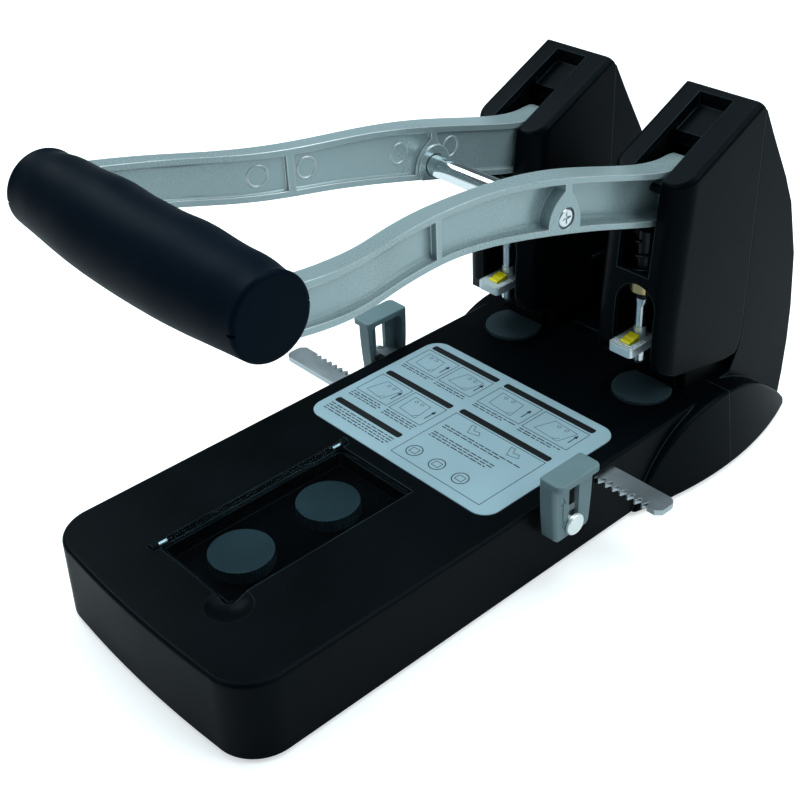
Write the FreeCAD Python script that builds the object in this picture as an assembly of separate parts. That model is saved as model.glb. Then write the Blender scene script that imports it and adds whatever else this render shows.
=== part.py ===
import FreeCAD, Part
import math
import os

os.makedirs("parts", exist_ok=True)
V = FreeCAD.Vector

# Heavy-duty two-hole lever punch. Millimetres, +X to the user's right, +Y to the back, +Z up.
# The origin is on the surface that the feet stand on, midway between the two punch boards.

# ---------------------------------------------------------------- driving dimensions
HOLE_SPACING = 80.0
TOWER_X = HOLE_SPACING / 2

FOOT_HEIGHT = 2.0
BASE_HEIGHT = 36.0
BASE_TOP = FOOT_HEIGHT + BASE_HEIGHT
BASE_HALF_WIDTH = 65.6
BASE_DRAFT = 0.7
BASE_FRONT = 246.4
FRONT_BOW = 2.0
CORNER_RADIUS = 18.6
BASE_WALL = 2.8
TOP_THICKNESS = 3.0
TOP_EDGE_RADIUS = 1.6
SEAM_Y = 24.0
SEAM_GAP = 0.3
BOTTOM_PLATE_THICKNESS = 1.5

TOWER_HALF_WIDTH = 20.0
TOWER_FRONT = -13.0
TOWER_SEAM_Y = 44.5
COVER_WALL = 2.3
FRAME_PLATE = 2.6
FRAME_HALF_WIDTH = 14.8
FRAME_INNER = FRAME_HALF_WIDTH - FRAME_PLATE
FRAME_BACK = 44.0

PUNCH_Y = -4.0
PUNCH_RADIUS = 2.8
PUNCH_BORE = 2.1
STROKE = 15.3
BOARD_RADIUS = 13.6
BOARD_THICKNESS = 6.2
BOARD_PROUD = 1.2
TIP_CLEARANCE = 0.1
RUNNING_CLEARANCE = 0.05
BODY_CLEARANCE = 0.3

PIVOT_Y = 33.5
PIVOT_Z = 133.0
PIVOT_RADIUS = 5.0
PIVOT_END_CLEARANCE = 0.1
DRIVE_PIN_RADIUS = 1.9
DRIVE_ARM = 34.0
DRIVE_MID_ANGLE = math.radians(6.0)

ARM_FLANGE = 2.6
ARM_FILLET = 1.8
ARM_INNER_FILLET = 1.2
FILLET_SINK = 0.08
ARM_WEB = 3.4
WEB_RECESS = 1.6
GRIP_Y = -215.7
GRIP_Z = 177.7
GRIP_HALF_LENGTH = 66.8
GRIP_END_ROUND = 1.6
GRIP_CORE_RADIUS = 7.0
ROD_Y = -58.0
ROD_Z = 145.1
ROD_RADIUS = 4.6

MODULE = 1.25
PINION_TEETH = 17
PINION_Y = -70.6
RACK_THICKNESS = 2.4
RACK_TOP = BASE_TOP - 4.0
RACK_BACK = 10.3
FRONT_RACK_TAIL = 105.8
FRONT_RACK_TOOTHED = 95.0
REAR_RACK_TAIL = 99.3
REAR_RACK_TOOTHED = 91.5
FRONT_RACK_REACH = 75.2
REAR_RACK_REACH = 78.0
GUIDE_HALF_WIDTH = 12.0
GUIDE_FOOT_HALF_WIDTH = 10.3
GUIDE_FOOT_CORNER = 1.8
GUIDE_DEPTH = 7.6
GUIDE_OVERHANG = 3.6
GUIDE_TOP = BASE_TOP + 17.0
GUIDE_BOTTOM = BASE_TOP - 14.5
GUIDE_CAP = 2.8
GUIDE_WALL = 2.2
GUIDE_TRAVEL = 16.0
GUIDE_SLOT = 6.0
KNOB_RADIUS = 4.8
KNOB_Z = BASE_TOP - 8.6
KNOB_THICKNESS = 1.5
STUD_RADIUS = 2.5

TRAY_X0, TRAY_X1 = -23.0, 19.8
TRAY_Y0, TRAY_Y1 = -217.3, -126.5
TRAY_DEPTH = 9.0
LID_THICKNESS = 2.0
LID_MARGIN = 1.6
LID_HINGE_RADIUS = 1.6
LID_HINGE_RISE = 0.3
LID_PIN_RADIUS = 0.8
LID_EAR_RADIUS = 2.0

LABEL_X0, LABEL_X1 = -56.7, 56.4
LABEL_Y0, LABEL_Y1 = -117.4, -35.5
LABEL_RADIUS = 8.0
LABEL_THICKNESS = 0.5

DRAWER_HALF_WIDTH = 45.0
DRAWER_BOTTOM = 8.0
DRAWER_TOP = 32.0
DRAWER_FRONT = 50.0
BACK_Y = 84.2


# ---------------------------------------------------------------- general helpers
def box(x0, x1, y0, y1, z0, z1):
    return Part.makeBox(x1 - x0, y1 - y0, z1 - z0, V(x0, y0, z0))


def upright(radius, x, y, z0, z1):
    return Part.makeCylinder(radius, z1 - z0, V(x, y, z0))


def crosswise(radius, y, z, x0, x1):
    return Part.makeCylinder(radius, x1 - x0, V(x0, y, z), V(1, 0, 0))


def fuse(shapes):
    shapes = list(shapes)
    return shapes[0].multiFuse(shapes[1:]).removeSplitter()


def group(shapes):
    return Part.makeCompound(list(shapes))


def mirrored(shape):
    return shape.mirror(V(0, 0, 0), V(1, 0, 0))


def shifted(shape, x=0.0, y=0.0, z=0.0):
    copy = shape.copy()
    copy.translate(V(x, y, z))
    return copy


def both_sides(shape):
    return [mirrored(shape), shape]


def side_prism(points, x0, x1):
    """Closed outline in the YZ plane, carried from x0 to x1."""
    wire = Part.makePolygon([V(x0, y, z) for y, z in points + points[:1]])
    return Part.Face(wire).extrude(V(x1 - x0, 0, 0))


def plan_prism(points, z0, z1):
    wire = Part.makePolygon([V(x, y, z0) for x, y in points + points[:1]])
    return Part.Face(wire).extrude(V(0, 0, z1 - z0))


def rounded_plate(x0, x1, y0, y1, z0, z1, radius):
    plate = box(x0, x1, y0, y1, z0, z1)
    corners = [e for e in plate.Edges if is_upright(e)]
    return plate.makeFillet(radius, corners)


def spline(points):
    curve = Part.BSplineCurve()
    curve.interpolate(points)
    return curve.toShape()


def is_upright(edge):
    first, last = edge.Vertexes[0].Point, edge.Vertexes[-1].Point
    return abs(first.x - last.x) < 1e-6 and abs(first.y - last.y) < 1e-6


def edges_where(shape, test):
    return [e for e in shape.Edges if test(e.BoundBox)]


def export(name, shape):
    shape.exportStep(os.path.join("parts", name + ".step"))


# ---------------------------------------------------------------- base outline
def base_wire(inset, z):
    """Plan outline at height z: straight sides, round front corners, gently bowed front."""
    lean = BASE_DRAFT * (BASE_TOP - z) / BASE_HEIGHT
    half = BASE_HALF_WIDTH + lean - inset
    front = -(BASE_FRONT + lean - inset)
    radius = CORNER_RADIUS - inset
    back = SEAM_Y
    middle = half - radius
    bend = radius * (1 - math.sqrt(0.5))
    corners = []
    for side in (-1, 1):
        corners.append((V(side * half, front + radius, z),
                        V(side * (half - bend), front + bend, z),
                        V(side * middle, front, z)))
    left, right = corners
    edges = [
        Part.LineSegment(V(-half, back, z), left[0]).toShape(),
        Part.Arc(*left).toShape(),
        Part.Arc(left[2], V(0, front - FRONT_BOW, z), right[2]).toShape(),
        Part.Arc(right[2], right[1], right[0]).toShape(),
        Part.LineSegment(right[0], V(half, back, z)).toShape(),
        Part.LineSegment(V(half, back, z), V(-half, back, z)).toShape(),
    ]
    return Part.Wire(edges)


def base_block(inset, z0, z1):
    return Part.makeLoft([base_wire(inset, z0), base_wire(inset, z1)], True, True)


# ---------------------------------------------------------------- side shoulders (pods)
POD_ARCH = [(-36.0, 2.0), (-29.0, 13.0), (-20.5, 23.5), (-10.0, 31.5), (3.0, 37.0), (16.0, 39.0),
            (30.0, 38.0), (44.0, 33.0), (56.0, 26.2), (66.0, 18.7), (75.0, 11.4), (84.0, 2.0)]
POD_BOTTOM_ARC = [(66.1, -41.0), (75.6, 16.0), (64.5, 81.0)]
POD_TOP_ARC = [(60.0, -41.0), (69.8, 16.0), (58.5, 81.0)]
POD_INNER_X = 57.0
POD_EDGE_RADIUS = 1.6


def pod(inset):
    """Right shoulder: an arch seen from the side, bulging outwards and leaning in at the top."""
    arch = [V(40.0, y, z - inset) for y, z in POD_ARCH]
    ends = [V(40.0, POD_ARCH[-1][0], -5.0), V(40.0, POD_ARCH[0][0], -5.0)]
    outline = Part.Wire([spline(arch),
                         Part.LineSegment(arch[-1], ends[0]).toShape(),
                         Part.LineSegment(ends[0], ends[1]).toShape(),
                         Part.LineSegment(ends[1], arch[0]).toShape()])
    arch_prism = Part.Face(outline).extrude(V(50.0, 0, 0))

    def level(points, z):
        arc = [V(x - inset, y, z) for x, y in points]
        back = V(POD_INNER_X - 10, arc[2].y, z)
        front = V(POD_INNER_X - 10, arc[0].y, z)
        return Part.Wire([Part.Arc(*arc).toShape(),
                          Part.LineSegment(arc[2], back).toShape(),
                          Part.LineSegment(back, front).toShape(),
                          Part.LineSegment(front, arc[0]).toShape()])

    flank = Part.makeLoft([level(POD_BOTTOM_ARC, FOOT_HEIGHT), level(POD_TOP_ARC, 45.0)], True, True)
    side = box(POD_INNER_X + inset, 100, -100, 100, -20, 60)
    return arch_prism.common(flank).common(side)


def pod_outer():
    solid = pod(0.0)
    crest = edges_where(solid, lambda b: b.YLength > 100 and b.ZLength > 20 and b.XMin > POD_INNER_X + 2)
    return solid.makeFillet(POD_EDGE_RADIUS, crest)


# ---------------------------------------------------------------- base
RACK_PITCH_RADIUS = MODULE * PINION_TEETH / 2
RACK_BOTTOM = RACK_TOP - RACK_THICKNESS
FRONT_RACK_TIP = PINION_Y - RACK_PITCH_RADIUS + MODULE
REAR_RACK_TIP = PINION_Y + RACK_PITCH_RADIUS - MODULE
FRONT_RACK_EDGE = FRONT_RACK_TIP - MODULE - RACK_BACK
REAR_RACK_EDGE = REAR_RACK_TIP + MODULE + RACK_BACK
RACK_SLOT = 0.6
TRAY_FLOOR = BASE_TOP - TRAY_DEPTH
TUB_WALL = 2.4
RECESS_X, RECESS_Y, RECESS_RADIUS, RECESS_DEPTH = 23.4, -219.4, 9.5, 2.6
BOTTOM_BOSSES = [(-50.0, -215.0), (50.0, -215.0), (-52.0, -125.0), (52.0, -125.0)]
BOSS_RADIUS = 4.5
SCREW_RADIUS = 1.5
BOARD_HOLE = BOARD_RADIUS + 0.4


def tower_opening(x):
    """Hole in the top for a tower frame, from the punch board back to the frame's rear web."""
    half = FRAME_HALF_WIDTH + 0.5
    return box(x - half, x + half, 11.0, FRAME_BACK + 0.4, BASE_TOP - 10, BASE_TOP + 20)


def tray_rebate(extra):
    return box(TRAY_X0 - LID_MARGIN - extra, TRAY_X1 + LID_MARGIN + extra,
               TRAY_Y0 - LID_MARGIN - extra, TRAY_Y1 + LID_MARGIN + extra,
               BASE_TOP - LID_THICKNESS - extra, BASE_TOP + 5)


def hinge_groove():
    y0 = TRAY_Y0 - LID_MARGIN - 0.3
    y1 = TRAY_Y1 + LID_MARGIN + 0.3
    x = lid_hinge_x()
    z = lid_hinge_z()
    return Part.makeCylinder(LID_HINGE_RADIUS + 0.3, y1 - y0, V(x, y0, z), V(0, 1, 0)).fuse(
        box(x - LID_HINGE_RADIUS - 0.3, x + LID_HINGE_RADIUS + 0.3, y0, y1, z, BASE_TOP + 5))


def lid_hinge_x():
    return TRAY_X0 - LID_MARGIN


def lid_hinge_z():
    return BASE_TOP + LID_HINGE_RISE


def lid_ears():
    """Low round ears at both ends of the lid's barrel, which hold its two pins."""
    ears = []
    for y0, y1 in ((TRAY_Y0 - LID_MARGIN - 3.6, TRAY_Y0 - LID_MARGIN - 0.3),
                   (TRAY_Y1 + LID_MARGIN + 0.3, TRAY_Y1 + LID_MARGIN + 3.6)):
        foot = V(lid_hinge_x(), y0, lid_hinge_z())
        ears.append(Part.makeCylinder(LID_EAR_RADIUS, y1 - y0, foot, V(0, 1, 0)))
    return ears


def base_shell():
    shell = base_block(0.0, FOOT_HEIGHT, BASE_TOP)
    top_edges = edges_where(shell, lambda b: b.ZLength < 1e-4 and b.ZMin > BASE_TOP - 1e-3 and
                            b.YMin < SEAM_Y - 1)
    shell = shell.makeFillet(TOP_EDGE_RADIUS, top_edges)
    hollow = base_block(BASE_WALL, FOOT_HEIGHT - 1, BASE_TOP - TOP_THICKNESS)
    front_half = box(-100, 100, -300, SEAM_Y, -10, 100)
    pods = [p.common(front_half) for p in both_sides(pod_outer())]
    pod_hollows = [p.common(front_half) for p in both_sides(pod(BASE_WALL))]
    shell = shell.fuse(pods).cut(group([hollow] + pod_hollows))

    tub = box(TRAY_X0 - TUB_WALL, TRAY_X1 + TUB_WALL, TRAY_Y0 - TUB_WALL, TRAY_Y1 + TUB_WALL,
              TRAY_FLOOR - TUB_WALL, BASE_TOP - 1)
    hinge_wall = box(lid_hinge_x() - 4.2, lid_hinge_x() + 1, TRAY_Y0 - 5, TRAY_Y1 + 5,
                     BASE_TOP - 6, BASE_TOP - 1)
    thumb_wall = upright(RECESS_RADIUS + 2, RECESS_X, RECESS_Y, BASE_TOP - RECESS_DEPTH - 2.4, BASE_TOP - 1)
    bosses = [upright(BOSS_RADIUS, x, y, FOOT_HEIGHT + BOTTOM_PLATE_THICKNESS, BASE_TOP - 1)
              for x, y in BOTTOM_BOSSES]
    shell = shell.fuse([tub, hinge_wall, thumb_wall] + bosses + lid_ears())

    cuts = [box(TRAY_X0, TRAY_X1, TRAY_Y0, TRAY_Y1, TRAY_FLOOR, BASE_TOP + 1)]
    cuts += [tray_rebate(0.3), hinge_groove()]
    cuts += [Part.makeSphere(dish_radius(), V(RECESS_X, RECESS_Y, BASE_TOP - RECESS_DEPTH + dish_radius()))]
    cuts += [upright(BOARD_HOLE, s * TOWER_X, 0, BASE_TOP - 10, BASE_TOP + 5) for s in (-1, 1)]
    cuts += [tower_opening(s * TOWER_X) for s in (-1, 1)]
    cuts += [upright(SCREW_RADIUS, x, y, 0, FOOT_HEIGHT + 12) for x, y in BOTTOM_BOSSES]
    cuts += rack_openings() + lid_pin_holes()
    return shell.cut(group(cuts)).removeSplitter()


def dish_radius():
    return (RECESS_RADIUS ** 2 + RECESS_DEPTH ** 2) / (2 * RECESS_DEPTH)


def rack_openings():
    """Both racks leave the base on both sides, so four windows, cut through each side wall."""
    z0, z1 = RACK_BOTTOM - RACK_SLOT, RACK_TOP + RACK_SLOT
    spans = [(FRONT_RACK_EDGE - RACK_SLOT, FRONT_RACK_TIP + RACK_SLOT),
             (REAR_RACK_TIP - RACK_SLOT, REAR_RACK_EDGE + RACK_SLOT)]
    return [box(s * 66 - 8, s * 66 + 8, y0, y1, z0, z1) for s in (-1, 1) for y0, y1 in spans]


def lid_pin_spans():
    inner0 = TRAY_Y0 - LID_MARGIN
    inner1 = TRAY_Y1 + LID_MARGIN
    return [(inner0 - 2.8, inner0 + 4.0), (inner1 - 4.0, inner1 + 2.8)]


def lid_pin_holes():
    return [Part.makeCylinder(LID_PIN_RADIUS, y1 - y0, V(lid_hinge_x(), y0, lid_hinge_z()), V(0, 1, 0))
            for y0, y1 in lid_pin_spans()]


def bottom_plate():
    inset = BASE_WALL + 0.3
    z0, z1 = FOOT_HEIGHT, FOOT_HEIGHT + BOTTOM_PLATE_THICKNESS
    front = base_block(inset, z0, z1)
    rear = box(-POD_INNER_X + 3, POD_INNER_X - 3, SEAM_Y - 1, 78.0, z0, z1)
    holes = [upright(SCREW_RADIUS, x, y, 0, 6) for x, y in BOTTOM_BOSSES + REAR_BOSSES]
    return front.fuse(rear).cut(group(holes)).removeSplitter()


FOOT_PLACES = [(-52.0, -226.0, 8.0), (52.0, -226.0, 8.0), (-46.0, 66.0, 8.0), (46.0, 66.0, 8.0),
               (0.0, 0.0, 14.0)]


def rubber_feet():
    return group(upright(r, x, y, 0, FOOT_HEIGHT) for x, y, r in FOOT_PLACES)


def bottom_screws():
    screws = []
    for x, y in BOTTOM_BOSSES + REAR_BOSSES:
        head = upright(2.8, x, y, FOOT_HEIGHT - 1.2, FOOT_HEIGHT)
        shank = upright(SCREW_RADIUS, x, y, FOOT_HEIGHT - 0.6, FOOT_HEIGHT + 10)
        cross = fuse([box(x - 1.8, x + 1.8, y - 0.3, y + 0.3, 0, FOOT_HEIGHT - 0.6),
                      box(x - 0.3, x + 0.3, y - 1.8, y + 1.8, 0, FOOT_HEIGHT - 0.6)])
        screws.append(head.fuse(shank).cut(cross))
    return group(screws)


def label_plate():
    return rounded_plate(LABEL_X0, LABEL_X1, LABEL_Y0, LABEL_Y1, BASE_TOP, BASE_TOP + LABEL_THICKNESS,
                         LABEL_RADIUS)


# ---------------------------------------------------------------- spare tray
SPARE_Y = (-195.6, -151.0)
SPARE_X = (TRAY_X0 + TRAY_X1) / 2
SPARE_THICKNESS = 5.6
LID_CORNER = 5.0


def tray_lid():
    x0, x1 = lid_hinge_x(), TRAY_X1 + LID_MARGIN
    y0, y1 = TRAY_Y0 - LID_MARGIN, TRAY_Y1 + LID_MARGIN
    z0 = BASE_TOP - LID_THICKNESS
    plate = box(x0, x1, y0, y1, z0, BASE_TOP)
    plate = plate.makeFillet(LID_CORNER, edges_where(
        plate, lambda b: b.ZLength > 1 and b.XLength < 1e-3 and b.YLength < 1e-3 and
        b.XMin > 0 and b.YMin < TRAY_Y0))
    barrel = Part.makeCylinder(LID_HINGE_RADIUS, y1 - y0, V(x0, y0, lid_hinge_z()), V(0, 1, 0))
    lip = Part.makeCylinder(RECESS_RADIUS - 2.5, 1.4, V(RECESS_X, RECESS_Y, BASE_TOP - 1.4))
    bores = [Part.makeCylinder(LID_PIN_RADIUS + RUNNING_CLEARANCE, 4.4, V(x0, a, lid_hinge_z()), V(0, 1, 0))
             for a in (y0 - 0.2, y1 - 4.2)]
    return plate.fuse(barrel).cut(group([lip] + bores)).removeSplitter()


def lid_hinge_pins():
    return group(Part.makeCylinder(LID_PIN_RADIUS, y1 - y0, V(lid_hinge_x(), y0, lid_hinge_z()), V(0, 1, 0))
                 for y0, y1 in lid_pin_spans())


def knurled_disc(x, y, z0, z1, radius, teeth, depth):
    points = []
    for i in range(2 * teeth):
        angle = math.pi * i / teeth
        r = radius if i % 2 == 0 else radius - depth
        points.append((x + r * math.cos(angle), y + r * math.sin(angle)))
    return plan_prism(points, z0, z1)


def spare_boards():
    return group(knurled_disc(SPARE_X, y, TRAY_FLOOR, TRAY_FLOOR + SPARE_THICKNESS, BOARD_RADIUS, 60, 0.35)
                 for y in SPARE_Y)


# ---------------------------------------------------------------- punch boards and die pads
BOARD_BOTTOM = BASE_TOP + BOARD_PROUD - BOARD_THICKNESS
BOARD_FACE = BASE_TOP + BOARD_PROUD
BOARD_PIVOT_RADIUS = 2.5


def punch_board(x):
    board = knurled_disc(x, 0, BOARD_BOTTOM, BOARD_FACE, BOARD_RADIUS, 60, 0.35)
    bore = upright(BOARD_PIVOT_RADIUS + RUNNING_CLEARANCE, x, 0, BOARD_BOTTOM - 1, BOARD_BOTTOM + 3)
    return board.cut(bore)


def die_pad(x):
    """Steel anvil under the board, with the stub that the board turns on."""
    z0 = frame_floor_top()
    block = box(x - FRAME_INNER, x + FRAME_INNER, -14.0, 10.8, z0, BOARD_BOTTOM - 0.1)
    stub = upright(BOARD_PIVOT_RADIUS, x, 0, BOARD_BOTTOM - 0.1, BOARD_BOTTOM + 2.6)
    return block.fuse(stub)


# ---------------------------------------------------------------- rack and pinion
def rack_profile(length_from, length_to, phase):
    """Tooth line along X at pitch height 0, teeth towards +Y."""
    pitch = math.pi * MODULE
    slope = math.tan(math.radians(20))
    play = 0.06
    tip = pitch / 4 - MODULE * slope - play
    root = pitch / 4 + 1.25 * MODULE * slope - play
    first = math.ceil((length_from - phase) / pitch)
    last = math.floor((length_to - phase) / pitch)
    points = []
    for i in range(first, last + 1):
        centre = phase + i * pitch
        points += [(centre - root, -1.25 * MODULE), (centre - tip, MODULE),
                   (centre + tip, MODULE), (centre + root, -1.25 * MODULE)]
    return points


CARRIER_TAB = 2.6
CARRIER_HALF_WIDTH = 6.4
CARRIER_BOTTOM = KNOB_Z - 6.0
TAIL_CORNER = 4.0
TAIL_CHAMFER = 2.5
RACK_ROOT_Y = PINION_Y - RACK_PITCH_RADIUS - 1.25 * MODULE
LAST_TOOTH_X = 6.0
HALF_TOOTH = math.pi * MODULE / 2


def carrier_face(reach):
    """Outer face of the tab that a guide slides on, inside the guide's wall."""
    return reach - GUIDE_WALL - BODY_CLEARANCE


def rack(reach, tail, toothed, phase):
    """Rack with its carrier tab at the right end. Teeth point to the back, its tail sticks out left."""
    pitch_line = PINION_Y - RACK_PITCH_RADIUS
    edge = FRONT_RACK_EDGE
    teeth = rack_profile(-toothed, LAST_TOOTH_X, phase)
    outer = carrier_face(reach)
    points = [(-tail, edge), (-tail, RACK_ROOT_Y + 0.4), (-tail + TAIL_CHAMFER, FRONT_RACK_TIP),
              (teeth[0][0] - 1.0, FRONT_RACK_TIP)]
    points += [(x, pitch_line + y) for x, y in teeth]
    points += [(outer, RACK_ROOT_Y), (outer, edge)]
    strip = plan_prism(points, RACK_BOTTOM, RACK_TOP)
    strip = strip.makeFillet(TAIL_CORNER, [e for e in strip.Edges if is_upright(e) and
                                           abs(e.BoundBox.XMin + tail) < 0.01 and
                                           abs(e.BoundBox.YMin - edge) < 0.01])
    y = guide_centre_y()
    tab = box(outer - CARRIER_TAB, outer, y - CARRIER_HALF_WIDTH, y + CARRIER_HALF_WIDTH,
              CARRIER_BOTTOM, RACK_TOP)
    hole = crosswise(STUD_RADIUS, y, KNOB_Z, outer - CARRIER_TAB - 5, outer + 5)
    return strip.fuse(tab).cut(hole).removeSplitter()


def guide_centre_y():
    return (FRONT_RACK_EDGE + FRONT_RACK_TIP) / 2


def turned_about_pinion(shape):
    copy = shape.copy()
    copy.rotate(V(0, PINION_Y, 0), V(0, 0, 1), 180)
    return copy


def front_rack():
    return rack(FRONT_RACK_REACH, FRONT_RACK_TAIL, FRONT_RACK_TOOTHED, HALF_TOOTH)


def rear_rack():
    """Turned half round the pinion, with its teeth moved on by half a tooth to mesh."""
    return turned_about_pinion(rack(REAR_RACK_REACH, REAR_RACK_TAIL, REAR_RACK_TOOTHED, 0.0))


def pinion():
    """Involute spur pinion, one tooth towards the front rack's space."""
    n = PINION_TEETH
    base_radius = RACK_PITCH_RADIUS * math.cos(math.radians(20))
    tip_radius = RACK_PITCH_RADIUS + MODULE
    root_radius = RACK_PITCH_RADIUS - 1.25 * MODULE
    inv = math.tan(math.radians(20)) - math.radians(20)
    play = 0.06 / RACK_PITCH_RADIUS
    half_at_base = math.pi / (2 * n) + inv - play

    def flank(radius):
        roll = math.acos(base_radius / radius)
        return half_at_base - (math.tan(roll) - roll)

    radii = [base_radius + (tip_radius - base_radius) * i / 5 for i in range(6)]
    points = []
    for tooth in range(n):
        centre = -math.pi / 2 + 2 * math.pi * tooth / n
        rise = [(root_radius, centre - half_at_base)] + [(r, centre - flank(r)) for r in radii]
        fall = [(r, 2 * centre - a) for r, a in reversed(rise)]
        points += [(r * math.cos(a), PINION_Y + r * math.sin(a)) for r, a in rise + fall]
    gear = plan_prism(points, RACK_BOTTOM, RACK_TOP)
    return gear.cut(upright(PINION_PIN_RADIUS + RUNNING_CLEARANCE, 0, PINION_Y, 0, 60))


PINION_PIN_RADIUS = 3.0
COVER_PLATE_TOP = RACK_BOTTOM - 0.3
COVER_PLATE = 3.0
COVER_HALF_LENGTH = 58.0
COVER_SCREWS = [(-54.0, -99.0), (54.0, -99.0), (-54.0, -41.0), (54.0, -41.0)]


def pinion_pin():
    return upright(PINION_PIN_RADIUS, 0, PINION_Y, COVER_PLATE_TOP, BASE_TOP - TOP_THICKNESS)


def rack_cover():
    """Plate that carries racks and pinion from below, with rails and four spacers up to the top."""
    z1 = COVER_PLATE_TOP
    under_top = BASE_TOP - TOP_THICKNESS
    plate = rounded_plate(-COVER_HALF_LENGTH, COVER_HALF_LENGTH, -104.0, -36.0, z1 - COVER_PLATE, z1, 4.0)
    rails = [box(-COVER_HALF_LENGTH + 6, COVER_HALF_LENGTH - 6, y0, y1, z1, under_top)
             for y0, y1 in ((FRONT_RACK_EDGE - 2.8, FRONT_RACK_EDGE - BODY_CLEARANCE),
                            (REAR_RACK_EDGE + BODY_CLEARANCE, REAR_RACK_EDGE + 2.8))]
    posts = [upright(4.0, x, y, z1, under_top) for x, y in COVER_SCREWS]
    holes = [upright(SCREW_RADIUS, x, y, 0, under_top - 1) for x, y in COVER_SCREWS]
    return fuse([plate] + rails + posts).cut(group(holes))


def rack_cover_screws():
    z0 = COVER_PLATE_TOP - COVER_PLATE
    return group(upright(2.8, x, y, z0 - 1.6, z0).fuse(
        upright(SCREW_RADIUS, x, y, z0, BASE_TOP - TOP_THICKNESS - 1)) for x, y in COVER_SCREWS)


# ---------------------------------------------------------------- paper guides
def paper_guide(reach):
    """Right guide: outer wall with a slot, two flanks and a cap that overhangs outwards."""
    y = guide_centre_y()
    inner = reach - GUIDE_DEPTH
    body = guide_shield(y, 0.0, inner, reach)
    face_edges = edges_where(body, lambda b: b.XMin > reach - 0.01 and b.ZMin < GUIDE_TOP - 2)
    body = body.makeFillet(GUIDE_FOOT_CORNER, face_edges)
    cap = box(inner - 0.5, reach + GUIDE_OVERHANG, y - GUIDE_HALF_WIDTH - 0.4, y + GUIDE_HALF_WIDTH + 0.4,
              GUIDE_TOP - GUIDE_CAP, GUIDE_TOP)
    corners = [e for e in cap.Edges if is_upright(e)]
    cap = cap.makeFillet(3.0, [e for e in corners if e.BoundBox.XMin > reach])
    cap = cap.makeFillet(1.4, [e for e in cap.Edges if is_upright(e) and e.BoundBox.XMax < inner])
    cap = cap.makeFillet(0.8, edges_where(cap, lambda b: b.ZMin > GUIDE_TOP - 0.01))
    half = GUIDE_HALF_WIDTH - GUIDE_WALL
    arch_z = GUIDE_TOP - GUIDE_CAP - 5.0
    span = (inner - 2, reach - GUIDE_WALL)
    arch = fuse([box(*span, y - half, y + half, 0, arch_z),
                 box(*span, y - half + 5, y + half - 5, 0, arch_z + 5),
                 crosswise(5.0, y - half + 5, arch_z, *span),
                 crosswise(5.0, y + half - 5, arch_z, *span)])
    recess = arch.common(guide_shield(y, GUIDE_WALL, *span))
    slot = box(reach - GUIDE_WALL - 2, reach + 2, y - GUIDE_SLOT / 2, y + GUIDE_SLOT / 2,
               KNOB_Z - STUD_RADIUS - BODY_CLEARANCE, KNOB_Z + GUIDE_TRAVEL + STUD_RADIUS + BODY_CLEARANCE)
    return body.fuse(cap).cut(group([recess, slot, fuse(guide_arrow(y, reach))])).removeSplitter()


def guide_shield(y, inset, x0, x1):
    """Outline of a guide seen from the side: full width under the cap, narrower at its foot."""
    half = GUIDE_HALF_WIDTH - inset
    foot = GUIDE_FOOT_HALF_WIDTH - inset
    top = GUIDE_TOP - 0.5
    low = GUIDE_BOTTOM if inset == 0 else GUIDE_BOTTOM - 10
    height = top - GUIDE_BOTTOM
    waist = (y + half - 0.2 * (half - foot), GUIDE_BOTTOM + 0.55 * height)
    knee = (y + foot, GUIDE_BOTTOM + GUIDE_FOOT_CORNER)
    toe = foot - GUIDE_FOOT_CORNER
    right = Part.Arc(V(x0, y + half, top), V(x0, *waist), V(x0, *knee)).toShape()
    left_waist = (2 * y - waist[0], waist[1])
    left = Part.Arc(V(x0, y - half, top), V(x0, *left_waist), V(x0, y - foot, knee[1])).toShape()
    wire = Part.Wire([right, Part.LineSegment(V(x0, *knee), V(x0, y + toe, low)).toShape(),
                      Part.LineSegment(V(x0, y + toe, low), V(x0, y - toe, low)).toShape(),
                      Part.LineSegment(V(x0, y - toe, low), V(x0, y - foot, knee[1])).toShape(),
                      left, Part.LineSegment(V(x0, y - half, top), V(x0, y + half, top)).toShape()])
    return Part.Face(wire).extrude(V(x1 - x0, 0, 0))



def guide_arrow(y, reach):
    """Shallow two-headed arrow on the outer face, in front of the slot."""
    depth = 0.35
    centre = y - 6.6
    x0, x1 = reach - depth, reach + 1
    shaft = box(x0, x1, centre - 0.5, centre + 0.5, GUIDE_BOTTOM + 10, GUIDE_BOTTOM + 19)
    heads = []
    for z, tip in ((GUIDE_BOTTOM + 10, GUIDE_BOTTOM + 6.4), (GUIDE_BOTTOM + 19, GUIDE_BOTTOM + 22.6)):
        heads.append(side_prism([(centre - 1.9, z), (centre + 1.9, z), (centre, tip)], x0, x1))
    return [shaft] + heads


def guide_knob(reach):
    """Stud riveted flush in the carrier tab, with a round clamp knob outside the guide's wall."""
    y = guide_centre_y()
    inner = reach + BODY_CLEARANCE
    outer = inner + KNOB_THICKNESS
    stud = crosswise(STUD_RADIUS, y, KNOB_Z, carrier_face(reach) - CARRIER_TAB, inner)
    knob = crosswise(KNOB_RADIUS, y, KNOB_Z, inner, outer)
    knob = knob.makeChamfer(0.4, edges_where(knob, lambda b: b.XMin > outer - 0.1))
    return fuse([stud, knob])


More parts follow.
